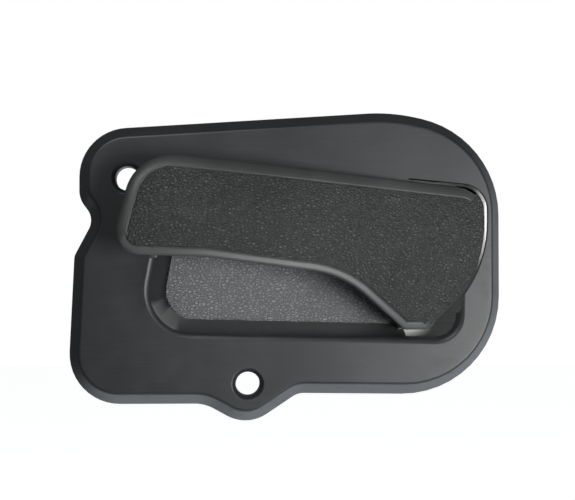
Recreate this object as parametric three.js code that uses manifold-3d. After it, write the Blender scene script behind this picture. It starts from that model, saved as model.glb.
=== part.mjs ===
// Interior release handle of a car door: a moulded escutcheon with a finger recess, a grained
// pull lever on an upright hinge pin, and the steel and nylon parts behind them.
// Millimetres. +X runs along the door to the hinge end of the lever, +Y goes into the door and
// +Z is up. Y = 0 is the plane of the door panel that the escutcheon's rear edge seats on.
import * as THREE from "three";
import { mergeVertices } from "three/addons/utils/BufferGeometryUtils.js";
import Module from "manifold-3d";

const wasm = await Module();
wasm.setup();

// ---- Clearances -------------------------------------------------------------------------
const GAP = 0.3; // between touching pieces
const RUNNING = 0.08; // radial, between a pin and what turns on it
const REACH = 200; // longer than the whole handle, for half-space cuts

// ---- Escutcheon -------------------------------------------------------------------------
const PLATE_WIDTH = 130.4;
const PLATE_TOP = 46.9;
const PLATE_BOTTOM = -38.9;
const PLATE_DEPTH = 8; // from the door panel to the face
const PLATE_WALL = 2.5;
const SKIRT_DRAFT = 3.4; // how far the skirt spreads from the face to the panel
const SKIRT_WALL = 2;
const PLATE_RIGHT = PLATE_WIDTH / 2;
const PLATE_LEFT = -PLATE_RIGHT;
const FACE_Y = -PLATE_DEPTH;
const PLATE_BACK_Y = FACE_Y + PLATE_WALL;
const PANEL_SCREW_R = 3.6;
const PANEL_SCREW_MOUTH_R = 4.5;
const PANEL_SCREW_MOUTH = 1.4; // depth of the flared mouth
const PANEL_SCREW_BOSS_R = 6;
const SCREW_LOBE_X = -11.3;
const LOBE_DROP = 9.4; // from the lower edge to the corner of the screw lobe
const PANEL_SCREWS = [
  [PLATE_LEFT + 18.2, PLATE_TOP - 21],
  [SCREW_LOBE_X, PLATE_BOTTOM + 3.9],
];
// Corners of the outline at the door panel, counter-clockwise: [x, z, radius].
const PLATE_OUTLINE = [
  [PLATE_LEFT + 3.4, PLATE_TOP - 6.2, 14.8],
  [PLATE_LEFT + 3.4, PLATE_TOP - 26.7, 7.5],
  [PLATE_LEFT + 7.9, PLATE_TOP - 32.7, 5.4],
  [PLATE_LEFT + 2, PLATE_TOP - 43.9, 4.5],
  [PLATE_LEFT, PLATE_BOTTOM - 2.4, 15.1],
  [SCREW_LOBE_X - 12.8, PLATE_BOTTOM - 2.4, 12],
  [SCREW_LOBE_X, PLATE_BOTTOM - LOBE_DROP, 11.5],
  [SCREW_LOBE_X + 15.2, PLATE_BOTTOM + 0.7, 6],
  [PLATE_RIGHT, PLATE_BOTTOM, 29.6],
  [PLATE_RIGHT, PLATE_TOP - 7.1, 30],
  [PLATE_RIGHT - 32.8, PLATE_TOP, 54],
];
const RIB_THICKNESS = 1.2;
const RIB_BACK_Y = PLATE_BACK_Y + 4;

// ---- Lever ------------------------------------------------------------------------------
const LEVER_LENGTH = 110.4;
const LEVER_TOP = 23.2; // of the hinge end
const LEVER_TIP = -18.9; // lowest point, below the hinge end
const LEVER_RIGHT = PLATE_RIGHT - 5.8;
const LEVER_LEFT = LEVER_RIGHT - LEVER_LENGTH;
const LEVER_OUTLINE = [
  [LEVER_LEFT, LEVER_TOP - 20.3, 7],
  [LEVER_LEFT + 27, LEVER_TOP - 20.9, 40],
  [LEVER_RIGHT - 43.5, LEVER_TOP - 25.9, 30],
  [LEVER_RIGHT - 24.5, LEVER_TIP, 3],
  [LEVER_RIGHT - 17.8, LEVER_TIP, 1.8],
  [LEVER_RIGHT, LEVER_TIP + 16.6, 35.5],
  [LEVER_RIGHT, LEVER_TOP, 7],
  [LEVER_LEFT + 7.6, LEVER_TOP + 9.2, 13.5],
];
// The lever's face in plan, a cubic from its flush hinge end to its free end: [x, y].
const LEVER_RISE = 22.2; // of the free end in front of the escutcheon's face
const LEVER_PLAN = [
  [LEVER_RIGHT + 2.6, FACE_Y - 0.2],
  [LEVER_RIGHT - 21.4, FACE_Y - 1.5],
  [LEVER_RIGHT - 59.4, FACE_Y - LEVER_RISE + 1.2],
  [LEVER_LEFT - 1, FACE_Y - LEVER_RISE],
];
const LEVER_CROWN_R = 95;
const LEVER_CROWN_Z = LEVER_TOP - 18.2;
const LEVER_WALL = 2.8;
const LEVER_RIM = 7; // depth of the rim behind the face
const LEVER_RIM_WALL = 2.4;
const LEVER_RIB = 3.2; // depth of the stiffening ribs behind the wall
const LEVER_PLATE_GAP = 0.8; // between the lever's hinge end and the escutcheon
const LEVER_LIP = 0.4; // the escutcheon's edge in front of the space that the hinge end sweeps
const LEVER_SWEEP_CLEAR = 0.5;
const LEVER_FACE_CLEAR = 0.6; // between the lever's rim and the escutcheon's face

// ---- Hinge ------------------------------------------------------------------------------
const PIVOT = [LEVER_RIGHT - 13.8, FACE_Y + 7];
const PIN_R = 2;
const PIN_HEAD_WIDER = 1.4;
const PIN_HEAD = 1.5;
const PIN_CHAMFER = 0.4;
const PIN_TAIL = 3.2; // below the lower ear
const PIN_GROOVE = 0.6; // depth of the clip's groove
const PIN_GROOVE_DROP = 0.6; // from the lower ear to the groove
const CLIP_THICKNESS = 0.8;
const CLIP_WIDER = 2; // than the pin, radially
const BUSH_WALL = 1.12;
const BUSH_FLANGE_WIDER = 1.4;
const BUSH_FLANGE = 1;
const BUSH_LENGTH = 3.2;
const BUSH_FIT = 0.1; // radial, in the barrel
const BARREL_WALL = 1.3; // around the bushes, inside the coil
const BARREL_R = 6;
const BARREL_BOTTOM = LEVER_TOP - 24.7;
const BARREL_TOP = LEVER_TOP - 5.3;
const HUB_CLEAR_X = PIVOT[0] - 8.1; // past here the rim stays in front of the hinge parts
const HUB_CLEAR_Y = PIVOT[1] - 5.6;
const BUSH_R = PIN_R + RUNNING + BUSH_WALL;
const COIL_CORE_R = BUSH_R + BUSH_FIT + BARREL_WALL;

// ---- Finger recess ----------------------------------------------------------------------
const RECESS_LEFT = LEVER_LEFT + 7.7;
const RECESS_TOP = LEVER_TOP - 1.2;
const RECESS_BOTTOM = LEVER_TIP - 3.3;
const RECESS_MOUTH = [
  [RECESS_LEFT, RECESS_BOTTOM + 2.2, 13],
  [LEVER_RIGHT - 7.6, RECESS_BOTTOM, 7.5],
  [LEVER_RIGHT - 7.2, LEVER_TIP + 14.9, 1],
  [LEVER_RIGHT - 9.4, RECESS_TOP, 1],
  [RECESS_LEFT + 8.3, RECESS_TOP + 2, 6],
];
const RECESS_DRAFT = 4.3; // how far each wall leans in on its way to the floor
const RECESS_END_X = PIVOT[0] - 9.6; // the walls stop here, short of the hinge
const COLLAR_WALL = 2;
const COLLAR_BACK_Y = FACE_Y + 12;
const FLOOR_THICKNESS = 2;
const FLOOR_PAD = 0.9; // how far the grained pad stands into the collar
const FLOOR_TAB_R = 3.5;
const FLOOR_TAB_REACH = 14;
const FLOOR_TAB_OUT = 6.2; // from the recess mouth to a tab's screw
// Screw tabs of the floor, each with the direction from it to the floor: [x, z, towards x, towards z].
const FLOOR_TABS = [
  [RECESS_LEFT + 25.3, RECESS_TOP + FLOOR_TAB_OUT + 2, 0, -1],
  [RECESS_LEFT - FLOOR_TAB_OUT - 0.5, RECESS_BOTTOM + 14.2, 1, 0],
  [RECESS_LEFT + 48.3, RECESS_BOTTOM - FLOOR_TAB_OUT, 0, 1],
];
const FLOOR_END_WALL = 1.8;
const FLOOR_END_WALL_Y = FACE_Y + 7;
const FLOOR_FRONT_Y = COLLAR_BACK_Y + GAP;
const FLOOR_BACK_Y = FLOOR_FRONT_Y + FLOOR_THICKNESS;

// ---- Self-tapping screws ----------------------------------------------------------------
const SCREW_R = 1.4;
const SCREW_LENGTH = 7;
const SCREW_HEAD_R = 3;
const SCREW_HEAD = 2;
const SCREW_DRIVE_R = 1.1;
const SCREW_DRIVE_DEPTH = 1.1;
const BOSS_R = 2.8;

// ---- Crank arm and rod clip -------------------------------------------------------------
const ARM_THICKNESS = 2.3;
const ARM_BOTTOM = BARREL_BOTTOM + 7.2;
const ARM_RADIUS = 19; // from the pin to the rod
const ARM_HALF_WIDTH = 3;
const ARM_END_WALL = 1.6; // around the rod clip's pin
const ARM_LUG = { left: PIVOT[0] - 12.2, right: PIVOT[0] - 5, front: PIVOT[1] - 7.5, back: PIVOT[1] - 2.6 };
const ARM_NECK_FRONT = PIVOT[1] - 5.6;
const RIVETS = [
  [PIVOT[0] - 9.8, PIVOT[1] - 5.2],
  [PIVOT[0] - 6.4, PIVOT[1] - 6.2],
];
const RIVET_R = 1.15;
const RIVET_HEAD_R = 1.6;
const RIVET_HEAD = 0.9;
const RIVET_CLEAR = 0.12; // radial
const ARM_RIB = 2.4; // thickness of the lever's rib that the arm is riveted to
const ROD_PIN_R = 1.9;
const ROD_PIN_HEAD = 1.2;
const ROD_PIN_BARB = 0.7; // radial
const ROD_R = 2;
const ROD_CLIP_LENGTH = 11;
const ROD_CLIP_WALL = 0.7; // beside the rod
const ROD_CLIP_FLOOR = 1.5; // under the rod
const ROD_CLIP_LIP = 0.9; // over the rod
const ARM_TOP = ARM_BOTTOM + ARM_THICKNESS;
const RIB_BOTTOM = ARM_TOP + GAP;
const RIB_TOP = RIB_BOTTOM + ARM_RIB;
const ROD_AT = [PIVOT[0], PIVOT[1] + ARM_RADIUS];

// ---- Pivot bracket ----------------------------------------------------------------------
const BRACKET_GAP = 2.1; // between the recess floor and the bracket
const BRACKET_STEEL = 1.4;
const BRACKET_Y = FLOOR_BACK_Y + BRACKET_GAP;
const BRACKET_BACK_Y = BRACKET_Y + BRACKET_STEEL;
const BRACKET_SCREWS = [
  [PIVOT[0] - 14.6, RECESS_TOP + 8],
  [PIVOT[0] - 0.6, RECESS_TOP + 7.4],
  [PIVOT[0] - 14.6, RECESS_BOTTOM - 5.8],
  [PIVOT[0] + 0.4, RECESS_BOTTOM - 5.4],
];
const BRACKET_MARGIN = 3.8; // beyond the screws
const BRACKET_LEFT = BRACKET_SCREWS[0][0] - BRACKET_MARGIN;
const BRACKET_TOP = BRACKET_SCREWS[0][1] + BRACKET_MARGIN;
const BRACKET_BOTTOM = BRACKET_SCREWS[2][1] - BRACKET_MARGIN;
const BRACKET_OUTLINE = [
  [BRACKET_LEFT, BRACKET_BOTTOM, 4],
  [PIVOT[0] + 4.4, BRACKET_BOTTOM, 5],
  [LEVER_RIGHT + 3.2, BRACKET_BOTTOM + 11.6, 8],
  [LEVER_RIGHT + 3.2, BRACKET_TOP - 8.8, 8],
  [PIVOT[0] + 4, BRACKET_TOP, 5],
  [BRACKET_LEFT, BRACKET_TOP, 4],
];
const EAR_R = 5.2;
const EAR_TOP_Z = BARREL_TOP + GAP + BUSH_FLANGE + GAP;
const EAR_BOTTOM_Z = BARREL_BOTTOM - GAP - BUSH_FLANGE - GAP - BRACKET_STEEL;
const OPEN_ANGLE = THREE.MathUtils.degToRad(32);
const SLOT_CLEAR = 1.65; // above and below the crank arm
const STOP_SEAT = 2; // how far a stop's nose stands off the edge of the slot
const STOP_LAP = 1.6; // how far it laps each side of the steel
const STOP_OVERLAP = 0.5; // how far it laps the steel above and below the slot

// ---- Return spring ----------------------------------------------------------------------
const WIRE_R = 0.55;
const COIL_TURNS = 3;
const COIL_PITCH = 1.3;
const COIL_CLEAR = 0.45; // radial, around the barrel
const COIL_R = COIL_CORE_R + COIL_CLEAR + WIRE_R;
const COIL_BOTTOM = RIB_TOP + WIRE_R + GAP;
const COIL_TOP = COIL_BOTTOM + COIL_TURNS * COIL_PITCH;
const SPRING_ZONE_TOP = COIL_TOP + WIRE_R + GAP;
const SPRING_LEG_X = PIVOT[0] - COIL_R;
const SPRING_LEG_FRONT_Y = PIVOT[1] - 6.4;
const SPRING_LEG_BACK = 1.4; // past the bracket's rear face
const SPRING_WEB = 2.6; // thickness of the lever's web that the front leg pushes on

// ---- Outlines ---------------------------------------------------------------------------

// Moves each edge of a counter-clockwise outline inwards, and its corner radii with it.
function inset(corners, distance) {
  const edges = corners.map(([x, z], i) => {
    const [nextX, nextZ] = corners[(i + 1) % corners.length];
    const along = new THREE.Vector2(nextX - x, nextZ - z).normalize();
    const start = new THREE.Vector2(x - along.y * distance, z + along.x * distance);
    return { start, along };
  });
  return corners.map(([, , radius], i) => {
    const before = edges[(i + corners.length - 1) % corners.length];
    const after = edges[i];
    const turn = before.along.cross(after.along);
    const across = after.start.clone().sub(before.start);
    const reach = across.cross(after.along) / turn;
    const corner = before.start.clone().addScaledVector(before.along, reach);
    return [corner.x, corner.y, Math.max(radius - Math.sign(turn) * distance, 0.3)];
  });
}

// Points of an outline whose corners are rounded by arcs.
function roundedPoints(corners, arcStep = Math.PI / 14) {
  const points = [];
  corners.forEach(([x, z, radius], i) => {
    const corner = new THREE.Vector2(x, z);
    const [lastX, lastZ] = corners[(i + corners.length - 1) % corners.length];
    const [nextX, nextZ] = corners[(i + 1) % corners.length];
    const arriving = new THREE.Vector2(x - lastX, z - lastZ).normalize();
    const leaving = new THREE.Vector2(nextX - x, nextZ - z).normalize();
    const turn = Math.atan2(arriving.cross(leaving), arriving.dot(leaving));
    const side = Math.sign(turn);
    const start = corner.clone().addScaledVector(arriving, -radius * Math.tan(Math.abs(turn) / 2));
    const sideways = new THREE.Vector2(-arriving.y, arriving.x);
    const centre = start.clone().addScaledVector(sideways, side * radius);
    const steps = Math.max(Math.ceil(Math.abs(turn) / arcStep), 2);
    for (let k = 0; k <= steps; k++) {
      points.push(start.clone().rotateAround(centre, (turn * k) / steps));
    }
  });
  return points;
}

// ---- Solids -----------------------------------------------------------------------------

function solid(geometry) {
  geometry.deleteAttribute("normal");
  geometry.deleteAttribute("uv");
  const merged = mergeVertices(geometry, 1e-4);
  const kept = [];
  const index = merged.index.array;
  for (let i = 0; i < index.length; i += 3) {
    const [a, b, c] = [index[i], index[i + 1], index[i + 2]];
    if (a !== b && b !== c && c !== a) kept.push(a, b, c);
  }
  const vertProperties = merged.attributes.position.array;
  const triVerts = new Uint32Array(kept);
  return new wasm.Manifold(new wasm.Mesh({ numProp: 3, vertProperties, triVerts }));
}

const join = (pieces) => pieces.reduce((whole, piece) => whole.add(piece));
const cut = (body, tools) => tools.reduce((rest, tool) => rest.subtract(tool), body);

function box([x0, x1], [y0, y1], [z0, z1]) {
  const geometry = new THREE.BoxGeometry(x1 - x0, y1 - y0, z1 - z0);
  return solid(geometry.translate((x0 + x1) / 2, (y0 + y1) / 2, (z0 + z1) / 2));
}

// A round bar along Y, at [x, z].
function barY([x, z], radius, y0, y1, frontRadius = radius) {
  const geometry = new THREE.CylinderGeometry(radius, frontRadius, y1 - y0, 28);
  return solid(geometry.translate(x, (y0 + y1) / 2, z));
}

// A round bar along Z, at [x, y].
function barZ([x, y], radius, z0, z1) {
  const geometry = new THREE.CylinderGeometry(radius, radius, z1 - z0, 28);
  return solid(geometry.rotateX(Math.PI / 2).translate(x, y, (z0 + z1) / 2));
}

// An X-Z outline carried straight from yFront to yBack.
function slab(points, yFront, yBack) {
  const settings = { depth: yBack - yFront, bevelEnabled: false };
  const geometry = new THREE.ExtrudeGeometry(new THREE.Shape(points), settings);
  return solid(geometry.rotateX(Math.PI / 2).translate(0, yBack, 0));
}

// An X-Z outline at yNarrow that spreads evenly by `spread` on its way to yWide.
function drafted(corners, spread, yNarrow, yWide) {
  const run = Math.abs(yWide - yNarrow);
  const depth = 1;
  const settings = { depth, bevelThickness: run, bevelSize: spread, bevelSegments: 1 };
  const shape = new THREE.Shape(roundedPoints(corners));
  const geometry = new THREE.ExtrudeGeometry(shape, settings).rotateX(Math.PI / 2);
  const opensBackwards = yNarrow < yWide;
  geometry.translate(0, opensBackwards ? yNarrow + depth + run : yNarrow - run, 0);
  const keep = opensBackwards ? [-REACH, yWide] : [yWide, REACH];
  return solid(geometry).intersect(box([-REACH, REACH], keep, [-REACH, REACH]));
}

// The lever's crowned form between two depths behind its face.
function leverForm(front, back) {
  const halfAngle = Math.asin((LEVER_TOP - LEVER_TIP) / LEVER_CROWN_R);
  const steps = 14;
  const arc = (radius, k) => {
    const angle = THREE.MathUtils.lerp(-halfAngle, halfAngle, k / steps);
    const x = -LEVER_CROWN_Z + radius * Math.sin(angle);
    return new THREE.Vector2(x, radius * Math.cos(angle) - LEVER_CROWN_R);
  };
  const section = [];
  for (let k = 0; k <= steps; k++) section.push(arc(LEVER_CROWN_R - back, k));
  for (let k = steps; k >= 0; k--) section.push(arc(LEVER_CROWN_R - front, k));
  const [hinge, hingeHandle, freeHandle, free] = LEVER_PLAN.map(([x, y]) => new THREE.Vector3(x, y, 0));
  const extrudePath = new THREE.CubicBezierCurve3(hinge, hingeHandle, freeHandle, free);
  return solid(new THREE.ExtrudeGeometry(new THREE.Shape(section), { steps: 22, extrudePath }));
}

// ---- The assembly -----------------------------------------------------------------------

const handle = new THREE.Group();

const BLACK_MOULDING = { color: 0x2a2d2c, roughness: 0.55, metalness: 0 };
const BLACK_GRAIN = { color: 0x303332, roughness: 0.7, metalness: 0 };
const ZINC = { color: 0xa9a79f, roughness: 0.4, metalness: 0.9 };
const SPRING_STEEL = { color: 0x6d6f72, roughness: 0.35, metalness: 0.95 };
const NYLON = { color: 0xd9d6c8, roughness: 0.5, metalness: 0 };
const RUBBER = { color: 0x151515, roughness: 0.9, metalness: 0 };

function addPiece(name, body, finish) {
  const { vertProperties, triVerts } = body.getMesh();
  const geometry = new THREE.BufferGeometry();
  geometry.setAttribute("position", new THREE.BufferAttribute(vertProperties, 3));
  geometry.setIndex(new THREE.BufferAttribute(triVerts, 1));
  geometry.computeVertexNormals();
  const mesh = new THREE.Mesh(geometry, new THREE.MeshStandardMaterial(finish));
  mesh.name = name;
  handle.add(mesh);
}

const everywhere = [-REACH, REACH];
const faceOutline = inset(PLATE_OUTLINE, SKIRT_DRAFT);
const floorOutline = inset(RECESS_MOUTH, RECESS_DRAFT);
const leftOfHinge = box([-REACH, RECESS_END_X], everywhere, everywhere);

// The space that the lever's hinge end sweeps as it turns about the pin.
function hingeSweep() {
  const [pivotX, pivotY] = PIVOT;
  const edge = roundedPoints(LEVER_OUTLINE).filter((point) => point.x > pivotX);
  edge.sort((a, b) => a.y - b.y);
  const deepest = FACE_Y - LEVER_SWEEP_CLEAR - pivotY;
  const profile = edge.map((point) => [Math.hypot(point.x - pivotX, deepest) + LEVER_SWEEP_CLEAR, point.y]);
  const [low, high] = [edge[0].y, edge[edge.length - 1].y + LEVER_PLATE_GAP];
  const behindLip = box(everywhere, [FACE_Y + LEVER_LIP, REACH], everywhere);
  const widest = profile[profile.length - 1][0];
  return turned([[0, low], ...profile, [widest, high], [0, high]]).intersect(behindLip);
}

function escutcheon() {
  const outside = drafted(faceOutline, SKIRT_DRAFT, FACE_Y, 0);
  const inside = drafted(inset(faceOutline, SKIRT_WALL), SKIRT_DRAFT, PLATE_BACK_Y, PLATE_WALL);
  const boss = (at, radius, back) => barY(at, radius, PLATE_BACK_Y - 1, back);
  const ribBack = [PLATE_BACK_Y - 1, RIB_BACK_Y];
  const half = RIB_THICKNESS / 2;
  const uprightRibs = [13.3, 47.3, 61.3].map((along) => {
    const x = RECESS_LEFT + along;
    return box([x - half, x + half], ribBack, everywhere);
  });
  const levelRibs = [8.2, 30.2].map((up) => {
    const z = RECESS_BOTTOM + up;
    return box([-REACH, RECESS_LEFT + 43], ribBack, [z - half, z + half]);
  });
  const collar = drafted(inset(floorOutline, -COLLAR_WALL), RECESS_DRAFT, COLLAR_BACK_Y, FACE_Y)
    .intersect(leftOfHinge)
    .subtract(box(everywhere, [-REACH, PLATE_BACK_Y - 1], everywhere));
  const body = join([
    outside.subtract(inside),
    collar,
    join([...uprightRibs, ...levelRibs]).intersect(outside),
    ...PANEL_SCREWS.map((at) => boss(at, PANEL_SCREW_BOSS_R, 0)),
    ...BRACKET_SCREWS.map((at) => boss(at, BOSS_R, BRACKET_Y - GAP)),
    ...FLOOR_TABS.map((at) => boss(at, BOSS_R, COLLAR_BACK_Y)),
  ]);

  const pocket = drafted(floorOutline, RECESS_DRAFT, COLLAR_BACK_Y, FACE_Y)
    .add(slab(roundedPoints(floorOutline), COLLAR_BACK_Y - 1, COLLAR_BACK_Y + 1))
    .intersect(leftOfHinge);
  const leverMouth = slab(roundedPoints(inset(LEVER_OUTLINE, -LEVER_PLATE_GAP)), FACE_Y - 1, PLATE_BACK_Y);
  const hingeMouth = slab(roundedPoints(RECESS_MOUTH), FACE_Y - 1, PLATE_BACK_Y)
    .add(leverMouth)
    .subtract(leftOfHinge);
  const pilot = (at, seatY) => barY(at, SCREW_R + GAP, seatY - SCREW_LENGTH, seatY + 1);
  const mouthBack = FACE_Y + PANEL_SCREW_MOUTH;
  return cut(body, [
    pocket,
    hingeMouth,
    hingeSweep(),
    ...PANEL_SCREWS.map((at) => barY(at, PANEL_SCREW_R, FACE_Y - 1, 1)),
    ...PANEL_SCREWS.map((at) => barY(at, PANEL_SCREW_R, FACE_Y, mouthBack, PANEL_SCREW_MOUTH_R)),
    ...BRACKET_SCREWS.map((at) => pilot(at, BRACKET_Y)),
    ...FLOOR_TABS.map((at) => pilot(at, COLLAR_BACK_Y)),
  ]);
}

function recessFloor() {
  const seat = slab(roundedPoints(inset(floorOutline, -COLLAR_WALL)), FLOOR_FRONT_Y, FLOOR_BACK_Y);
  const plate = [FLOOR_FRONT_Y, FLOOR_BACK_Y];
  const tabs = FLOOR_TABS.map((at) => barY(at, FLOOR_TAB_R, ...plate));
  const bridges = FLOOR_TABS.map(([x, z, towardsX, towardsZ]) => {
    const half = FLOOR_TAB_REACH / 2;
    const [halfX, halfZ] = towardsX ? [half, FLOOR_TAB_R] : [FLOOR_TAB_R, half];
    const [midX, midZ] = [x + towardsX * half, z + towardsZ * half];
    return box([midX - halfX, midX + halfX], plate, [midZ - halfZ, midZ + halfZ]);
  });
  const padOutline = inset(floorOutline, GAP);
  const pad = slab(roundedPoints(padOutline), FLOOR_FRONT_Y - FLOOR_PAD, FLOOR_FRONT_Y + 1);
  const endWallX = [RECESS_END_X - FLOOR_END_WALL, RECESS_END_X];
  const endWall = drafted(padOutline, RECESS_DRAFT, COLLAR_BACK_Y, FACE_Y)
    .add(pad)
    .intersect(box(endWallX, [FLOOR_END_WALL_Y, FLOOR_FRONT_Y + 1], everywhere));
  const holes = FLOOR_TABS.map((at) => barY(at, SCREW_R + GAP, FLOOR_FRONT_Y - 1, FLOOR_BACK_Y + 1));
  return cut(join([seat, ...tabs, ...bridges, pad, endWall]).intersect(leftOfHinge), holes);
}

// A pan-head screw driven forwards: its head seats on seatY from behind.
function screw([x, z], seatY) {
  const head = seatY + GAP;
  const profile = [
    [0, head - SCREW_LENGTH],
    [SCREW_R * 0.4, head - SCREW_LENGTH],
    [SCREW_R, head - SCREW_LENGTH + SCREW_R],
    [SCREW_R, head],
    [SCREW_HEAD_R, head],
    [SCREW_HEAD_R, head + SCREW_HEAD * 0.45],
    [SCREW_HEAD_R * 0.72, head + SCREW_HEAD],
    [SCREW_DRIVE_R, head + SCREW_HEAD],
    [SCREW_DRIVE_R * 0.6, head + SCREW_HEAD - SCREW_DRIVE_DEPTH],
    [0, head + SCREW_HEAD - SCREW_DRIVE_DEPTH],
  ];
  const points = profile.map(([radius, y]) => new THREE.Vector2(radius, y));
  return solid(new THREE.LatheGeometry(points, 16).translate(x, 0, z));
}

// A turned piece on the hinge axis, from [radius, z] points.
function turned(profile) {
  const points = profile.map(([radius, z]) => new THREE.Vector2(radius, z));
  const geometry = new THREE.LatheGeometry(points, 28).rotateX(Math.PI / 2);
  return solid(geometry.translate(PIVOT[0], PIVOT[1], 0));
}

function pivotPin() {
  const seat = EAR_TOP_Z + BRACKET_STEEL + GAP;
  const end = EAR_BOTTOM_Z - PIN_TAIL;
  const grooveTop = EAR_BOTTOM_Z - PIN_GROOVE_DROP;
  const grooveBottom = grooveTop - CLIP_THICKNESS - GAP;
  const headR = PIN_R + PIN_HEAD_WIDER;
  return turned([
    [0, end],
    [PIN_R - PIN_CHAMFER, end],
    [PIN_R, end + PIN_CHAMFER],
    [PIN_R, grooveBottom],
    [PIN_R - PIN_GROOVE, grooveBottom],
    [PIN_R - PIN_GROOVE, grooveTop],
    [PIN_R, grooveTop],
    [PIN_R, seat],
    [headR, seat],
    [headR, seat + PIN_HEAD - PIN_CHAMFER],
    [headR - PIN_CHAMFER, seat + PIN_HEAD],
    [0, seat + PIN_HEAD],
  ]);
}

// An E-shaped retaining clip in the pin's groove, open towards the door.
function pinClip() {
  const top = EAR_BOTTOM_Z - PIN_GROOVE_DROP - GAP / 2;
  const bottom = top - CLIP_THICKNESS;
  const through = [bottom - 1, top + 1];
  const grooveR = PIN_R - PIN_GROOVE;
  const clipR = PIN_R + CLIP_WIDER;
  const mouth = box([PIVOT[0] - grooveR, PIVOT[0] + grooveR], [PIVOT[1], PIVOT[1] + clipR], through);
  const notches = [-1, 1].map((side) => {
    const at = [PIVOT[0] + side * (grooveR + CLIP_WIDER * 0.6), PIVOT[1] + PIN_GROOVE];
    return barZ(at, CLIP_WIDER * 0.4, ...through);
  });
  const bore = barZ(PIVOT, grooveR + RUNNING, ...through);
  return cut(barZ(PIVOT, clipR, bottom, top), [bore, mouth, ...notches]);
}

// A flanged bush in the barrel: its flange is outside the barrel, past `mouth`.
function bush(mouth, outwards) {
  const flangeInside = mouth + outwards * GAP;
  const flangeOutside = flangeInside + outwards * BUSH_FLANGE;
  const end = mouth - outwards * BUSH_LENGTH;
  const bore = PIN_R + RUNNING;
  const flangeR = BUSH_R + BUSH_FLANGE_WIDER;
  const profile = [
    [bore, end],
    [BUSH_R, end],
    [BUSH_R, flangeInside],
    [flangeR, flangeInside],
    [flangeR, flangeOutside],
    [bore, flangeOutside],
    [bore, end],
  ];
  return turned(outwards > 0 ? profile : profile.reverse());
}

// A dished shell with a rim all round, ribs inside and a split barrel for the pin.
function lever() {
  const outline = slab(roundedPoints(LEVER_OUTLINE), -REACH, REACH);
  const hollow = slab(roundedPoints(inset(LEVER_OUTLINE, LEVER_RIM_WALL)), -REACH, REACH);
  const hingeSpace = box([HUB_CLEAR_X, REACH], [HUB_CLEAR_Y, REACH], everywhere);
  const overCollar = [RECESS_TOP - COLLAR_WALL, REACH];
  const plateSpace = box([-REACH, HUB_CLEAR_X], [FACE_Y - LEVER_FACE_CLEAR, REACH], overCollar);
  const dish = leverForm(0, LEVER_RIM)
    .intersect(outline)
    .subtract(leverForm(LEVER_WALL, LEVER_RIM + LEVER_WALL).intersect(hollow))
    .subtract(hingeSpace)
    .subtract(plateSpace);

  const half = RIB_THICKNESS / 2;
  const uprights = [17, 33, 49, 65].map((along) => {
    const x = LEVER_LEFT + along;
    return box([x - half, x + half], everywhere, everywhere);
  });
  const spineZ = LEVER_TOP - 11.2;
  const spine = box([-REACH, ARM_LUG.left], everywhere, [spineZ - half, spineZ + half]);
  const stiffeners = join([...uprights, spine])
    .intersect(leverForm(LEVER_WALL - 1, LEVER_WALL + LEVER_RIB))
    .intersect(outline);

  const behindFace = leverForm(1, 30).intersect(outline);
  const web = (left, right, backY, level) => {
    return box([left, right], [-REACH, backY], level).intersect(behindFace);
  };
  const hubRight = PIVOT[0] + BARREL_R;
  const legStop = SPRING_LEG_X - WIRE_R - GAP;
  const lowLevel = [BARREL_BOTTOM, ARM_BOTTOM - GAP];
  const ribLevel = [RIB_BOTTOM, RIB_TOP];
  const topLevel = [SPRING_ZONE_TOP, BARREL_TOP];
  const legLevel = [RIB_TOP + RIVET_HEAD + 2 * GAP, BARREL_TOP];
  const hub = [
    ...[lowLevel, ribLevel, topLevel].map((level) => barZ(PIVOT, BARREL_R, ...level)),
    barZ(PIVOT, COIL_CORE_R, RIB_TOP - 1, BARREL_TOP),
    web(PIVOT[0] - BARREL_R + SPRING_WEB, hubRight, PIVOT[1], lowLevel),
    web(ARM_LUG.left, hubRight, ARM_LUG.back, ribLevel),
    web(legStop - SPRING_WEB, hubRight, ARM_LUG.back, topLevel),
    web(legStop - SPRING_WEB, legStop, ARM_LUG.back, legLevel),
  ];
  const bore = barZ(PIVOT, BUSH_R + BUSH_FIT, BARREL_BOTTOM - 1, BARREL_TOP + 1);
  const rivetHoles = RIVETS.map((at) => barZ(at, RIVET_R + RIVET_CLEAR, RIB_BOTTOM - 1, RIB_TOP + 1));
  return cut(join([dish, stiffeners, ...hub]), [bore, ...rivetHoles]);
}

function crankArm() {
  const level = [ARM_BOTTOM, ARM_TOP];
  const through = [ARM_BOTTOM - 1, ARM_TOP + 1];
  const [x, y] = PIVOT;
  const body = join([
    barZ(PIVOT, BARREL_R, ...level),
    barZ(ROD_AT, ROD_PIN_R + RUNNING + ARM_END_WALL, ...level),
    box([x - ARM_HALF_WIDTH, x + ARM_HALF_WIDTH], [y, ROD_AT[1]], level),
    box([ARM_LUG.left, ARM_LUG.right], [ARM_LUG.front, ARM_LUG.back], level),
    box([ARM_LUG.left, x], [ARM_NECK_FRONT, ARM_LUG.back], level),
  ]);
  return cut(body, [
    barZ(PIVOT, PIN_R + RUNNING, ...through),
    barZ(ROD_AT, ROD_PIN_R + RUNNING, ...through),
    ...RIVETS.map((at) => barZ(at, RIVET_R + RIVET_CLEAR, ...through)),
  ]);
}

function rivet(at) {
  const low = ARM_BOTTOM - GAP;
  const high = RIB_TOP + GAP;
  return join([
    barZ(at, RIVET_R, low - RIVET_HEAD, high + RIVET_HEAD),
    barZ(at, RIVET_HEAD_R, low - RIVET_HEAD, low),
    barZ(at, RIVET_HEAD_R, high, high + RIVET_HEAD),
  ]);
}

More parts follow.
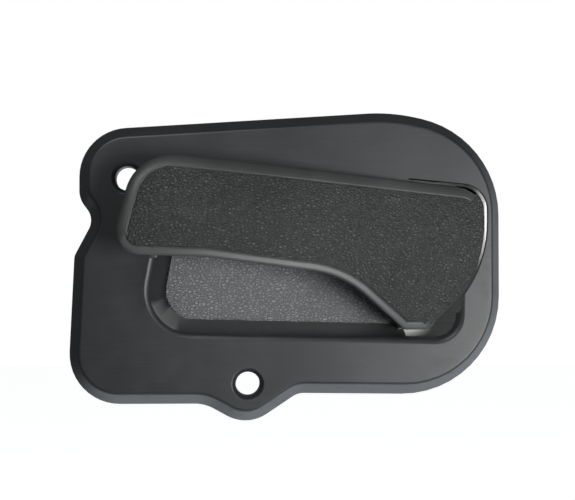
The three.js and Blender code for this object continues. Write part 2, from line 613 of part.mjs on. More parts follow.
// The clip turns in the arm's end hole and holds the latch rod along X.
function rodClip() {
  const [x, y] = ROD_AT;
  const halfLength = ROD_CLIP_LENGTH / 2;
  const halfWidth = ROD_R + ROD_CLIP_WALL;
  const bottom = ARM_TOP + GAP;
  const rodZ = bottom + ROD_CLIP_FLOOR + ROD_R;
  const top = rodZ + ROD_R + ROD_CLIP_LIP;
  const head = ARM_BOTTOM - GAP;
  const rodBore = new THREE.CylinderGeometry(ROD_R, ROD_R, ROD_CLIP_LENGTH + 2, 20);
  const body = join([
    box([x - halfLength, x + halfLength], [y - halfWidth, y + halfWidth], [bottom, top]),
    barZ(ROD_AT, ROD_PIN_R, head - ROD_PIN_HEAD, bottom + 1),
    barZ(ROD_AT, ROD_PIN_R + ROD_PIN_BARB, head - ROD_PIN_HEAD, head),
  ]);
  const snapHalf = ROD_R * 0.7;
  const snapLength = [x - ROD_CLIP_LENGTH, x + ROD_CLIP_LENGTH];
  const snapSlot = box(snapLength, [y - snapHalf, y + snapHalf], [rodZ, top + 1]);
  return cut(body, [solid(rodBore.rotateZ(Math.PI / 2).translate(x, y, rodZ)), snapSlot]);
}

// Where the crank arm's left side lies at depth y when the lever is fully open.
function openArmX(y) {
  const along = (y - PIVOT[1] + ARM_HALF_WIDTH * Math.sin(OPEN_ANGLE)) / Math.cos(OPEN_ANGLE);
  return PIVOT[0] - ARM_HALF_WIDTH * Math.cos(OPEN_ANGLE) - along * Math.sin(OPEN_ANGLE);
}

const closedStopX = PIVOT[0] + ARM_HALF_WIDTH + GAP;
const openStopX = openArmX(BRACKET_BACK_Y + STOP_LAP) - GAP;
const slotX = [openStopX - STOP_SEAT, closedStopX + STOP_SEAT];
const slotZ = [ARM_BOTTOM - SLOT_CLEAR, ARM_TOP + SLOT_CLEAR];

function pivotBracket() {
  const base = slab(roundedPoints(BRACKET_OUTLINE), BRACKET_Y, BRACKET_BACK_Y);
  const ears = [EAR_BOTTOM_Z, EAR_TOP_Z].map((z) => {
    const level = [z, z + BRACKET_STEEL];
    const arm = box([PIVOT[0] - EAR_R, PIVOT[0] + EAR_R], [PIVOT[1], BRACKET_BACK_Y], level);
    return arm.add(barZ(PIVOT, EAR_R, ...level));
  });
  const slot = box(slotX, [BRACKET_Y - 1, BRACKET_BACK_Y + 1], slotZ);
  const legHole = barY([SPRING_LEG_X, COIL_BOTTOM], WIRE_R + GAP, BRACKET_Y - 1, BRACKET_BACK_Y + 1);
  const pinHole = barZ(PIVOT, PIN_R + RUNNING, EAR_BOTTOM_Z - 1, EAR_TOP_Z + BRACKET_STEEL + 1);
  const holes = BRACKET_SCREWS.map((at) => barY(at, SCREW_R + GAP, BRACKET_Y - 1, BRACKET_BACK_Y + 1));
  return cut(join([base, ...ears]), [slot, legHole, pinHole, ...holes]);
}

// A rubber stop that grips the end of the bracket's slot. `side` is +1 at the slot's right end.
function bumpStop(noseX, side) {
  const seatX = noseX + side * STOP_SEAT;
  const farX = seatX + side * STOP_SEAT;
  const span = (a, b) => [Math.min(a, b), Math.max(a, b)];
  const level = [slotZ[0] - STOP_OVERLAP, slotZ[1] + STOP_OVERLAP];
  const beyond = [level[0] - 1, level[1] + 1];
  const block = box(span(noseX, farX), [BRACKET_Y - STOP_LAP, BRACKET_BACK_Y + STOP_LAP], level);
  const steelY = [BRACKET_Y - GAP, BRACKET_BACK_Y + GAP];
  return cut(block, [
    box(span(seatX - side * GAP, farX + side), steelY, beyond),
    box(span(noseX - side, farX + side), steelY, [slotZ[1] - GAP, beyond[1]]),
    box(span(noseX - side, farX + side), steelY, [beyond[0], slotZ[0] + GAP]),
  ]);
}

// The spring's centre line: through the bracket, round the barrel and onto the lever's web.
class SpringLine extends THREE.Curve {
  getPoint(t) {
    const backLeg = BRACKET_BACK_Y + SPRING_LEG_BACK - PIVOT[1];
    const coil = 2 * Math.PI * COIL_R * COIL_TURNS;
    const frontLeg = PIVOT[1] - SPRING_LEG_FRONT_Y;
    const run = t * (backLeg + coil + frontLeg);
    if (run < backLeg) return new THREE.Vector3(SPRING_LEG_X, PIVOT[1] + backLeg - run, COIL_BOTTOM);
    if (run > backLeg + coil) {
      return new THREE.Vector3(SPRING_LEG_X, PIVOT[1] - (run - backLeg - coil), COIL_TOP);
    }
    const share = (run - backLeg) / coil;
    const angle = Math.PI + share * COIL_TURNS * 2 * Math.PI;
    const z = THREE.MathUtils.lerp(COIL_BOTTOM, COIL_TOP, share);
    return new THREE.Vector3(PIVOT[0] + COIL_R * Math.cos(angle), PIVOT[1] + COIL_R * Math.sin(angle), z);
  }
}

function returnSpring() {
  const section = [];
  const sides = 7;
  for (let k = 0; k < sides; k++) {
    const angle = (k / sides) * 2 * Math.PI;
    section.push(new THREE.Vector2(WIRE_R * Math.cos(angle), WIRE_R * Math.sin(angle)));
  }
  const settings = { steps: 64, extrudePath: new SpringLine() };
  return solid(new THREE.ExtrudeGeometry(new THREE.Shape(section), settings));
}

addPiece("escutcheon", escutcheon(), BLACK_MOULDING);
addPiece("recess_floor", recessFloor(), BLACK_GRAIN);
FLOOR_TABS.forEach((at, i) => addPiece("floor_screw_" + (i + 1), screw(at, FLOOR_BACK_Y), ZINC));
addPiece("pivot_bracket", pivotBracket(), ZINC);
BRACKET_SCREWS.forEach((at, i) => addPiece("bracket_screw_" + (i + 1), screw(at, BRACKET_BACK_Y), ZINC));
addPiece("pivot_pin", pivotPin(), ZINC);
addPiece("pin_clip", pinClip(), SPRING_STEEL);
addPiece("upper_bush", bush(BARREL_TOP, 1), NYLON);
addPiece("lower_bush", bush(BARREL_BOTTOM, -1), NYLON);
addPiece("lever", lever(), BLACK_GRAIN);
addPiece("crank_arm", crankArm(), ZINC);
RIVETS.forEach((at, i) => addPiece("arm_rivet_" + (i + 1), rivet(at), ZINC));
addPiece("rod_clip", rodClip(), NYLON);
addPiece("return_spring", returnSpring(), SPRING_STEEL);
addPiece("closed_stop", bumpStop(closedStopX, 1), RUBBER);
addPiece("open_stop", bumpStop(openStopX, -1), RUBBER);

export default handle;
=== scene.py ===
"""Visual model of a moulded car door handle: escutcheon, lever, finger recess and the hinge behind."""

import logging
import math
from collections.abc import Callable, Iterator, Sequence
from contextlib import contextmanager
from dataclasses import dataclass, field, replace
from enum import Enum

import bmesh
import bpy
import numpy as np
from mathutils import Matrix, Vector


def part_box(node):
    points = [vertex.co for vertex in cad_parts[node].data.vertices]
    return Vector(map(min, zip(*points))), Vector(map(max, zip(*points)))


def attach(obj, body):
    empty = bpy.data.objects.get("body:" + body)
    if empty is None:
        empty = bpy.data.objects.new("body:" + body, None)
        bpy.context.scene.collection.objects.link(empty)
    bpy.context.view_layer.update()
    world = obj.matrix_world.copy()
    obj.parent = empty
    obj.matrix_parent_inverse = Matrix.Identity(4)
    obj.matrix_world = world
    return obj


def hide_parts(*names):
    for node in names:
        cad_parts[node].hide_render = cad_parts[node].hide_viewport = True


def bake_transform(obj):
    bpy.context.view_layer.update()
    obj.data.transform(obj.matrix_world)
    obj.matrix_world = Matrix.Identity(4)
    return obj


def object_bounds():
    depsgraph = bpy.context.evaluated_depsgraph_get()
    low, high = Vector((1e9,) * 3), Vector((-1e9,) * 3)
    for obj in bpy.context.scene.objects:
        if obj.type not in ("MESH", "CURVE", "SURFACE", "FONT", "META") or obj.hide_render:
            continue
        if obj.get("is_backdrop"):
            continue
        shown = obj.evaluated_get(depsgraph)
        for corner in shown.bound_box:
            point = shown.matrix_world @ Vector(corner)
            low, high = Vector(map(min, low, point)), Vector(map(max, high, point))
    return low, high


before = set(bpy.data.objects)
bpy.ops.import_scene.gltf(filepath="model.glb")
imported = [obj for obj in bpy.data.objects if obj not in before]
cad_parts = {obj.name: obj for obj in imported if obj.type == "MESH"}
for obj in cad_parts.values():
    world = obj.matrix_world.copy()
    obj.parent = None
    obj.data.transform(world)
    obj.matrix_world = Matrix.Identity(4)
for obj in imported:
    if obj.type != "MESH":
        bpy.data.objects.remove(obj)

LOG = logging.getLogger("door_handle")
MM = 0.001
SAME_PLACE = 1e-7  # metres, between points that are one
DOUBLES = 2e-6  # metres, between points that are merged
Pair = tuple[float, float]
Corner = tuple[float, float, float]


# ---- Outlines ---------------------------------------------------------------------------


@dataclass(frozen=True)
class Outline:
    """A closed counter-clockwise outline in X and Z whose corners are rounded, in millimetres."""

    corners: tuple[Corner, ...]
    arc_steps: int = 12
    least_radius: float = 0.15

    def offset(self, distance: float) -> "Outline":
        """Move every edge inwards.

        Args:
            distance: How far the edges move in, or out when it is negative.

        Returns:
            The moved outline, with as many points as this one.
        """
        count = len(self.corners)
        edges = []
        for i, (x, z, _) in enumerate(self.corners):
            nx, nz, _ = self.corners[(i + 1) % count]
            along = Vector((nx - x, nz - z)).normalized()
            edges.append((Vector((x - along.y * distance, z + along.x * distance)), along))
        moved = []
        for i, (_, _, radius) in enumerate(self.corners):
            (start, before), (other, after) = edges[i - 1], edges[i]
            turn = before.x * after.y - before.y * after.x
            across = other - start
            corner = start + before * ((across.x * after.y - across.y * after.x) / turn)
            less = radius - math.copysign(distance, turn * distance) if distance else radius
            moved.append((corner.x, corner.y, max(less, self.least_radius)))
        return replace(self, corners=tuple(moved))

    def points(self) -> np.ndarray:
        """Return the outline's points, shaped (count, 2)."""
        found = []
        count = len(self.corners)
        for i, (x, z, radius) in enumerate(self.corners):
            corner = Vector((x, z))
            arriving = (corner - Vector(self.corners[i - 1][:2])).normalized()
            leaving = (Vector(self.corners[(i + 1) % count][:2]) - corner).normalized()
            turn = math.atan2(arriving.x * leaving.y - arriving.y * leaving.x, arriving.dot(leaving))
            start = corner - arriving * (radius * math.tan(abs(turn) / 2))
            side = math.copysign(1.0, turn)
            centre = start + Vector((-arriving.y, arriving.x)) * (side * radius)
            for k in range(self.arc_steps + 1):
                angle = turn * k / self.arc_steps
                spoke = start - centre
                c, s = math.cos(angle), math.sin(angle)
                found.append((centre.x + spoke.x * c - spoke.y * s, centre.y + spoke.x * s + spoke.y * c))
        return np.array(found)


def fillet(corners: Sequence[Corner], steps: int = 5) -> list[Pair]:
    """Round the inner corners of an open profile.

    Args:
        corners: The profile's corners, each with its radius.
        steps: The number of straight pieces in each arc.

    Returns:
        The profile's points.
    """
    made = [corners[0][:2]]
    for before, here, after in zip(corners, corners[1:], corners[2:]):
        corner = Vector(here[:2])
        arriving = (corner - Vector(before[:2])).normalized()
        leaving = (Vector(after[:2]) - corner).normalized()
        turn = math.atan2(arriving.x * leaving.y - arriving.y * leaving.x, arriving.dot(leaving))
        if here[2] <= 0 or abs(turn) < 1e-4:
            made.append(here[:2])
            continue
        start = corner - arriving * (here[2] * math.tan(abs(turn) / 2))
        centre = start + Vector((-arriving.y, arriving.x)) * math.copysign(here[2], turn)
        for k in range(steps + 1):
            spoke = Matrix.Rotation(turn * k / steps, 2) @ (start - centre)
            made.append(tuple(centre + spoke))
    made.append(corners[-1][:2])
    return made


# ---- Bench: the operators that every piece is made with ----------------------------------


def select_only(*objects: bpy.types.Object) -> None:
    """Select these objects alone and make the first one active."""
    bpy.ops.object.select_all(action="DESELECT")
    for obj in objects:
        obj.select_set(True)
    bpy.context.view_layer.objects.active = objects[0]


@contextmanager
def editing(obj: bpy.types.Object, everything: bool = True) -> Iterator[None]:
    """Hold an object in edit mode.

    Args:
        obj: The mesh object.
        everything: Whether all of it starts selected.
    """
    select_only(obj)
    bpy.ops.object.mode_set(mode="EDIT")
    bpy.ops.mesh.select_all(action="SELECT" if everything else "DESELECT")
    yield
    bpy.ops.object.mode_set(mode="OBJECT")


def adopt(name: str) -> bpy.types.Object:
    """Name the primitive just added, apply its place and leave it alone selected."""
    obj = bpy.context.object
    obj.name = obj.data.name = name
    select_only(obj)
    bpy.ops.object.transform_apply(location=True, rotation=True, scale=True)
    return obj


def blank(name: str, outline: Outline, levels: Sequence[Pair]) -> bpy.types.Object:
    """Extrude an outline through levels, each moved in and to its own depth.

    Args:
        name: The object's name.
        outline: The outline at no offset.
        levels: The offset and the Y of each level, in millimetres.

    Returns:
        A closed mesh.
    """
    rows = []
    for inset, y in levels:
        flat = outline.offset(inset).points()
        rows.append(np.column_stack([flat[:, 0], np.full(len(flat), y), flat[:, 1]]) * MM)
    bpy.ops.mesh.primitive_circle_add(vertices=len(rows[0]), radius=1, fill_type="NGON")
    obj = adopt(name)
    obj.data.vertices.foreach_set("co", rows[0].ravel())
    with editing(obj):
        for last, row in zip(rows, rows[1:]):
            bpy.ops.mesh.extrude_region_move()
            mesh = bmesh.from_edit_mesh(obj.data)
            cap = next(f for f in mesh.faces if f.select)
            for vert in cap.verts:
                vert.co = row[int(np.abs(last - np.array(vert.co)).sum(axis=1).argmin())]
            bmesh.update_edit_mesh(obj.data)
        bpy.ops.mesh.select_all(action="SELECT")
        bpy.ops.mesh.remove_doubles(threshold=SAME_PLACE)
        bpy.ops.mesh.normals_make_consistent(inside=False)
    return obj


def block(name: str, low: Sequence[float], high: Sequence[float], edge: float = 0.0) -> bpy.types.Object:
    """Add a block between two corners, with its edges bevelled.

    Args:
        name: The object's name.
        low: The lowest corner, in millimetres.
        high: The highest corner, in millimetres.
        edge: The bevel's width, in millimetres.

    Returns:
        A closed mesh.
    """
    low_at, high_at = Vector(low) * MM, Vector(high) * MM
    bpy.ops.mesh.primitive_cube_add(size=1, location=(low_at + high_at) / 2, scale=high_at - low_at)
    obj = adopt(name)
    if edge:
        with editing(obj):
            bpy.ops.mesh.bevel(offset=edge * MM, segments=2, affect="EDGES")
    return obj


def bar(
    name: str, start: Sequence[float], end: Sequence[float], radii: Pair, sides: int = 48
) -> bpy.types.Object:
    """Add a round bar between two points, tapered if its radii differ.

    Args:
        name: The object's name.
        start: The middle of one end, in millimetres.
        end: The middle of the other end, in millimetres.
        radii: The radius at each end, in millimetres.
        sides: The number of sides.

    Returns:
        A closed mesh.
    """
    from_at, to_at = Vector(start) * MM, Vector(end) * MM
    along = to_at - from_at
    bpy.ops.mesh.primitive_cone_add(
        vertices=sides,
        radius1=radii[0] * MM,
        radius2=radii[1] * MM,
        depth=along.length,
        location=(from_at + to_at) / 2,
        rotation=along.to_track_quat("Z", "Y").to_euler(),
    )
    return adopt(name)


def turned(name: str, axis: Pair, profile: Sequence[Pair], sides: int = 48) -> bpy.types.Object:
    """Turn a profile about an upright axis.

    Args:
        name: The object's name.
        axis: The axis's X and Y, in millimetres.
        profile: The radius and the Z of each point, from the axis back to the axis or closed on itself.
        sides: The number of sides.

    Returns:
        A closed mesh.
    """
    bpy.ops.mesh.primitive_circle_add(vertices=len(profile), radius=1, fill_type="NOTHING")
    obj = adopt(name)
    for vert, (radius, z) in zip(obj.data.vertices, profile):
        vert.co = Vector((axis[0] + radius, axis[1], z)) * MM
    with editing(obj, everything=False):
        mesh = bmesh.from_edit_mesh(obj.data)
        mesh.edges.ensure_lookup_table()
        on_axis = [e for e in mesh.edges if all(abs(v.co.x - axis[0] * MM) < 1e-9 for v in e.verts)]
        for edge in on_axis:
            edge.select = True
        bmesh.update_edit_mesh(obj.data)
        if on_axis:
            bpy.ops.mesh.delete(type="EDGE_FACE")
        bpy.ops.mesh.select_all(action="SELECT")
        bpy.ops.mesh.spin(
            steps=sides, angle=math.tau, center=(axis[0] * MM, axis[1] * MM, 0), axis=(0, 0, 1)
        )
        bpy.ops.mesh.select_all(action="SELECT")
        bpy.ops.mesh.remove_doubles(threshold=1e-6)
        bpy.ops.mesh.dissolve_degenerate(threshold=1e-6)
        bpy.ops.mesh.delete_loose()
        bpy.ops.mesh.select_all(action="SELECT")
        bpy.ops.mesh.normals_make_consistent(inside=False)
    return obj


def lay_over(obj: bpy.types.Object, x: float, z: float) -> bpy.types.Object:
    """Turn an upright mesh so that its Z runs along Y, and move it.

    Args:
        obj: The mesh, on the Z axis.
        x: Its new X, in millimetres.
        z: Its new Z, in millimetres.

    Returns:
        The same object.
    """
    for vert in obj.data.vertices:
        vert.co = Vector((vert.co.x + x * MM, vert.co.z, z * MM - vert.co.y))
    return obj


def slice_off(obj: bpy.types.Object, at: Sequence[float], away: Sequence[float]) -> bpy.types.Object:
    """Cut off the side that a plane faces and close the cut.

    Args:
        obj: The closed mesh to cut.
        at: A point of the plane, in millimetres.
        away: The direction of the part that goes.

    Returns:
        The same object.
    """
    with editing(obj):
        bpy.ops.mesh.bisect(
            plane_co=Vector(at) * MM, plane_no=away, clear_outer=True, use_fill=True, threshold=SAME_PLACE
        )
    return obj


def score(obj: bpy.types.Object, axis: Vector, places: Sequence[float]) -> None:
    """Cut edges into a mesh where planes cross it, so that it can follow a curve.

    Args:
        obj: The mesh.
        axis: The direction that the planes face.
        places: Where each plane crosses the axis, in millimetres.
    """
    with editing(obj):
        for place in places:
            bpy.ops.mesh.select_all(action="SELECT")
            bpy.ops.mesh.bisect(plane_co=axis * (place * MM), plane_no=axis, threshold=SAME_PLACE)


class Fitting(Enum):
    """How one set of solids is put to another."""

    JOIN = "UNION"
    CUT = "DIFFERENCE"
    KEEP_COMMON = "INTERSECT"


def fit(target: bpy.types.Object, tools: Sequence[bpy.types.Object], fitting: Fitting) -> bpy.types.Object:
    """Join solids to a target, or cut them out of it.

    Args:
        target: The object that stays.
        tools: The objects that are used up.
        fitting: What is done with them.

    Returns:
        The target.
    """
    bench = bpy.data.collections.new("bench")
    for tool in tools:
        bench.objects.link(tool)
    modifier = target.modifiers.new("fit", "BOOLEAN")
    modifier.operation = fitting.value
    modifier.solver = "MANIFOLD"
    if fitting is Fitting.KEEP_COMMON:
        modifier.object = tools[0]
    else:
        modifier.operand_type = "COLLECTION"
        modifier.collection = bench
    select_only(target)
    bpy.ops.object.modifier_apply(modifier="fit")
    for tool in tools:
        bpy.data.objects.remove(tool, do_unlink=True)
    bpy.data.collections.remove(bench)
    mesh = bmesh.new()
    mesh.from_mesh(target.data)
    ragged = sum(not e.is_manifold for e in mesh.edges)
    mesh.free()
    if ragged:
        LOG.warning("%s: %d ragged edges after %s", target.name, ragged, fitting.name)
    return target


def clean(obj: bpy.types.Object, threshold: float = DOUBLES) -> bpy.types.Object:
    """Merge doubles and clear slivers and loose edges."""
    with editing(obj):
        bpy.ops.mesh.remove_doubles(threshold=threshold)
        bpy.ops.mesh.dissolve_degenerate(threshold=threshold)
        bpy.ops.mesh.delete_loose()
    return obj


def break_edges(obj: bpy.types.Object, width: float, angle: float = 38.0) -> bpy.types.Object:
    """Round the sharp edges.

    Args:
        obj: The mesh.
        width: The bevel's width, in millimetres.
        angle: The least angle of an edge that is rounded, in degrees.

    Returns:
        The same object.
    """
    modifier = obj.modifiers.new("edges", "BEVEL")
    modifier.width = width * MM
    modifier.segments = 2
    modifier.limit_method = "ANGLE"
    modifier.angle_limit = math.radians(angle)
    modifier.miter_outer = "MITER_ARC"
    modifier.use_clamp_overlap = True
    select_only(obj)
    bpy.ops.object.modifier_apply(modifier="edges")
    return obj


def smooth(obj: bpy.types.Object, angle: float = 32.0, weighted: bool = True) -> bpy.types.Object:
    """Shade a mesh smooth, keep its true edges and let its large faces stay flat.

    Args:
        obj: The mesh.
        angle: The least angle of an edge that stays sharp, in degrees.
        weighted: Whether large faces outweigh small ones.

    Returns:
        The same object.
    """
    select_only(obj)
    bpy.ops.object.shade_smooth_by_angle(angle=math.radians(angle))
    if weighted:
        modifier = obj.modifiers.new("normals", "WEIGHTED_NORMAL")
        modifier.keep_sharp = True
        modifier.weight = 100
        bpy.ops.object.modifier_apply(modifier="normals")
    return obj


def copy_of(node: str, name: str) -> bpy.types.Object:
    """Return a merged copy of a CAD node, its flat faces made whole."""
    obj = bpy.data.objects.new(name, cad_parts[node].data.copy())
    obj.data.name = name
    obj.data.materials.clear()
    bpy.context.scene.collection.objects.link(obj)
    with editing(obj):
        bpy.ops.mesh.remove_doubles(threshold=DOUBLES)
        bpy.ops.mesh.dissolve_limited(angle_limit=math.radians(1.0))
    return obj


# ---- Shader groups that the finishes share -------------------------------------------------


class Net:
    """A node tree being wired."""

    def __init__(self, tree: bpy.types.NodeTree) -> None:
        """Hold the tree."""
        self.tree = tree

    def add(self, kind: str, **values: object) -> bpy.types.Node:
        """Add a node.

        Args:
            kind: The node's type, without its ShaderNode start.
            values: Properties of the node, or values of its inputs where spaces are written as underscores.

        Returns:
            The node.
        """
        node = self.tree.nodes.new("ShaderNode" + kind)
        for key, value in values.items():
            if hasattr(node, key):
                setattr(node, key, value)
            else:
                node.inputs[key.replace("_", " ")].default_value = value
        return node

    def wire(self, source: bpy.types.NodeSocket, target: bpy.types.NodeSocket) -> None:
        """Join two sockets."""
        self.tree.links.new(source, target)

    def maths(self, operation: str, *operands: object, clamp: bool = False) -> bpy.types.NodeSocket:
        """Add a maths node on sockets or numbers and return its output."""
        node = self.add("Math", operation=operation, use_clamp=clamp)
        for socket, operand in zip(node.inputs, operands):
            if isinstance(operand, bpy.types.NodeSocket):
                self.wire(operand, socket)
            else:
                socket.default_value = operand
        return node.outputs[0]

    def span(
        self, value: bpy.types.NodeSocket, low: float, high: float, to: Pair = (0.0, 1.0)
    ) -> bpy.types.NodeSocket:
        """Map a value's range smoothly to another and return the output."""
        node = self.add("MapRange", interpolation_type="SMOOTHSTEP")
        self.wire(value, node.inputs["Value"])
        for key, number in (("From Min", low), ("From Max", high), ("To Min", to[0]), ("To Max", to[1])):
            node.inputs[key].default_value = number
        return node.outputs["Result"]

    def noise(
        self, where: bpy.types.NodeSocket, scale: float, detail: float = 3.0, rough: float = 0.55
    ) -> bpy.types.NodeSocket:
        """Add noise at a scale per metre and return its value."""
        node = self.add("TexNoise", Scale=scale, Detail=detail, Roughness=rough)
        self.wire(where, node.inputs["Vector"])
        return node.outputs["Fac"]


def group(
    name: str, inputs: dict[str, float], outputs: Sequence[str], fill: Callable[[Net, dict], dict]
) -> bpy.types.NodeTree:
    """Build a shader group once.

    Args:
        name: The group's name.
        inputs: The number inputs with their defaults; every group also has a Place input.
        outputs: The names of its number outputs.
        fill: A function that wires the group from its input sockets and returns the outputs' sources.

    Returns:
        The group's tree.
    """
    tree = bpy.data.node_groups.new(name, "ShaderNodeTree")
    tree.interface.new_socket("Place", in_out="INPUT", socket_type="NodeSocketVector")
    for key, value in inputs.items():
        tree.interface.new_socket(key, in_out="INPUT", socket_type="NodeSocketFloat").default_value = value
    for key in outputs:
        tree.interface.new_socket(key, in_out="OUTPUT", socket_type="NodeSocketFloat")
    net = Net(tree)
    start, end = tree.nodes.new("NodeGroupInput"), tree.nodes.new("NodeGroupOutput")
    for key, source in fill(net, start.outputs).items():
        net.wire(source, end.inputs[key])
    return tree


def fill_pebble(net: Net, given: dict) -> dict:
    """Wire the moulded pebble grain: rounded cells with soft valleys, varied in size."""
    long = net.add("VectorMath", operation="MULTIPLY")
    long.inputs[1].default_value = (0.62, 1.0, 1.0)
    net.wire(given["Place"], long.inputs[0])
    scaled = net.add("VectorMath", operation="SCALE")
    net.wire(long.outputs[0], scaled.inputs[0])
    net.wire(given["Scale"], scaled.inputs["Scale"])
    drift = net.add("TexNoise", Scale=0.8, Detail=2.0)
    net.wire(scaled.outputs[0], drift.inputs["Vector"])
    bent = net.add("VectorMath", operation="MULTIPLY_ADD")
    bent.inputs[1].default_value = (0.9, 0.9, 0.9)
    net.wire(drift.outputs["Color"], bent.inputs[0])
    net.wire(scaled.outputs[0], bent.inputs[2])
    cells = net.add("TexVoronoi", feature="DISTANCE_TO_EDGE", Scale=1.0)
    net.wire(bent.outputs[0], cells.inputs["Vector"])
    domes = net.span(cells.outputs["Distance"], 0.0, 0.3)
    fine = net.add("TexNoise", Scale=2.6, Detail=3.0)
    net.wire(bent.outputs[0], fine.inputs["Vector"])
    height = net.maths("MULTIPLY_ADD", fine.outputs["Fac"], 0.55, net.maths("MULTIPLY", domes, 0.7))
    return {"Height": height, "Valley": net.maths("SUBTRACT", 1.0, domes)}


def fill_tooling(net: Net, given: dict) -> dict:
    """Wire the mould's fine polishing lines, which run along X, and its slight orange peel."""
    stretched = net.add("VectorMath", operation="MULTIPLY")
    stretched.inputs[1].default_value = (90.0, 90.0, 2400.0)
    net.wire(given["Place"], stretched.inputs[0])
    lines = net.noise(stretched.outputs[0], 1.0, 2.0, 0.6)
    peel = net.noise(given["Place"], 1500.0, 2.0)
    scored = net.maths("MULTIPLY", lines, given["Lines"])
    dimpled = net.maths("MULTIPLY", peel, given["Peel"])
    return {"Height": net.maths("ADD", scored, dimpled), "Streak": lines}


def fill_bloom(net: Net, given: dict) -> dict:
    """Wire slow changes of colour: broad clouding with smaller handling marks in it."""
    broad = net.noise(given["Place"], 26.0, 3.0)
    small = net.noise(given["Place"], 210.0, 4.0, 0.65)
    return {"Cloud": net.span(broad, 0.3, 0.7), "Marks": net.span(small, 0.52, 0.72)}


def fill_wear(net: Net, given: dict) -> dict:
    """Wire worn edges: where the surface turns within a small radius, broken up by noise."""
    rounded = net.add("Bevel", samples=4)
    net.wire(given["Radius"], rounded.inputs["Radius"])
    true = net.add("NewGeometry")
    match = net.add("VectorMath", operation="DOT_PRODUCT")
    net.wire(rounded.outputs["Normal"], match.inputs[0])
    net.wire(true.outputs["True Normal"], match.inputs[1])
    turned_away = net.span(match.outputs["Value"], 0.995, 0.86)
    broken = net.span(net.noise(given["Place"], 420.0, 4.0), 0.3, 0.62)
    return {"Mask": net.maths("MULTIPLY", turned_away, broken, clamp=True)}


def fill_scuffs(net: Net, given: dict) -> dict:
    """Wire fine hairline scuffs in two directions."""
    masks = []
    for turn, spread in ((0.5, (60.0, 60.0, 1900.0)), (-0.9, (1700.0, 200.0, 60.0))):
        turned_to = net.add("Mapping", vector_type="TEXTURE")
        turned_to.inputs["Rotation"].default_value = (0.0, turn, 0.3 * turn)
        net.wire(given["Place"], turned_to.inputs["Vector"])
        stretched = net.add("VectorMath", operation="MULTIPLY")
        stretched.inputs[1].default_value = spread
        net.wire(turned_to.outputs[0], stretched.inputs[0])
        masks.append(net.span(net.noise(stretched.outputs[0], 1.0, 1.0), 0.62, 0.74))
    patch = net.span(net.noise(given["Place"], 60.0, 2.0), 0.45, 0.65)
    return {"Mask": net.maths("MULTIPLY", net.maths("MAXIMUM", *masks), patch, clamp=True)}


GROUPS = {
    "pebble": group("Pebble grain", {"Scale": 1500.0}, ("Height", "Valley"), fill_pebble),
    "tooling": group("Tooling lines", {"Lines": 0.5, "Peel": 0.5}, ("Height", "Streak"), fill_tooling),
    "bloom": group("Bloom and marks", {}, ("Cloud", "Marks"), fill_bloom),
    "wear": group("Edge wear", {"Radius": 0.0005}, ("Mask",), fill_wear),
    "scuffs": group("Hairline scuffs", {}, ("Mask",), fill_scuffs),
}


# ---- Finishes -------------------------------------------------------------------------------


STREAK_SHADE = 0.12  # how much full polishing lines lighten and darken the colour


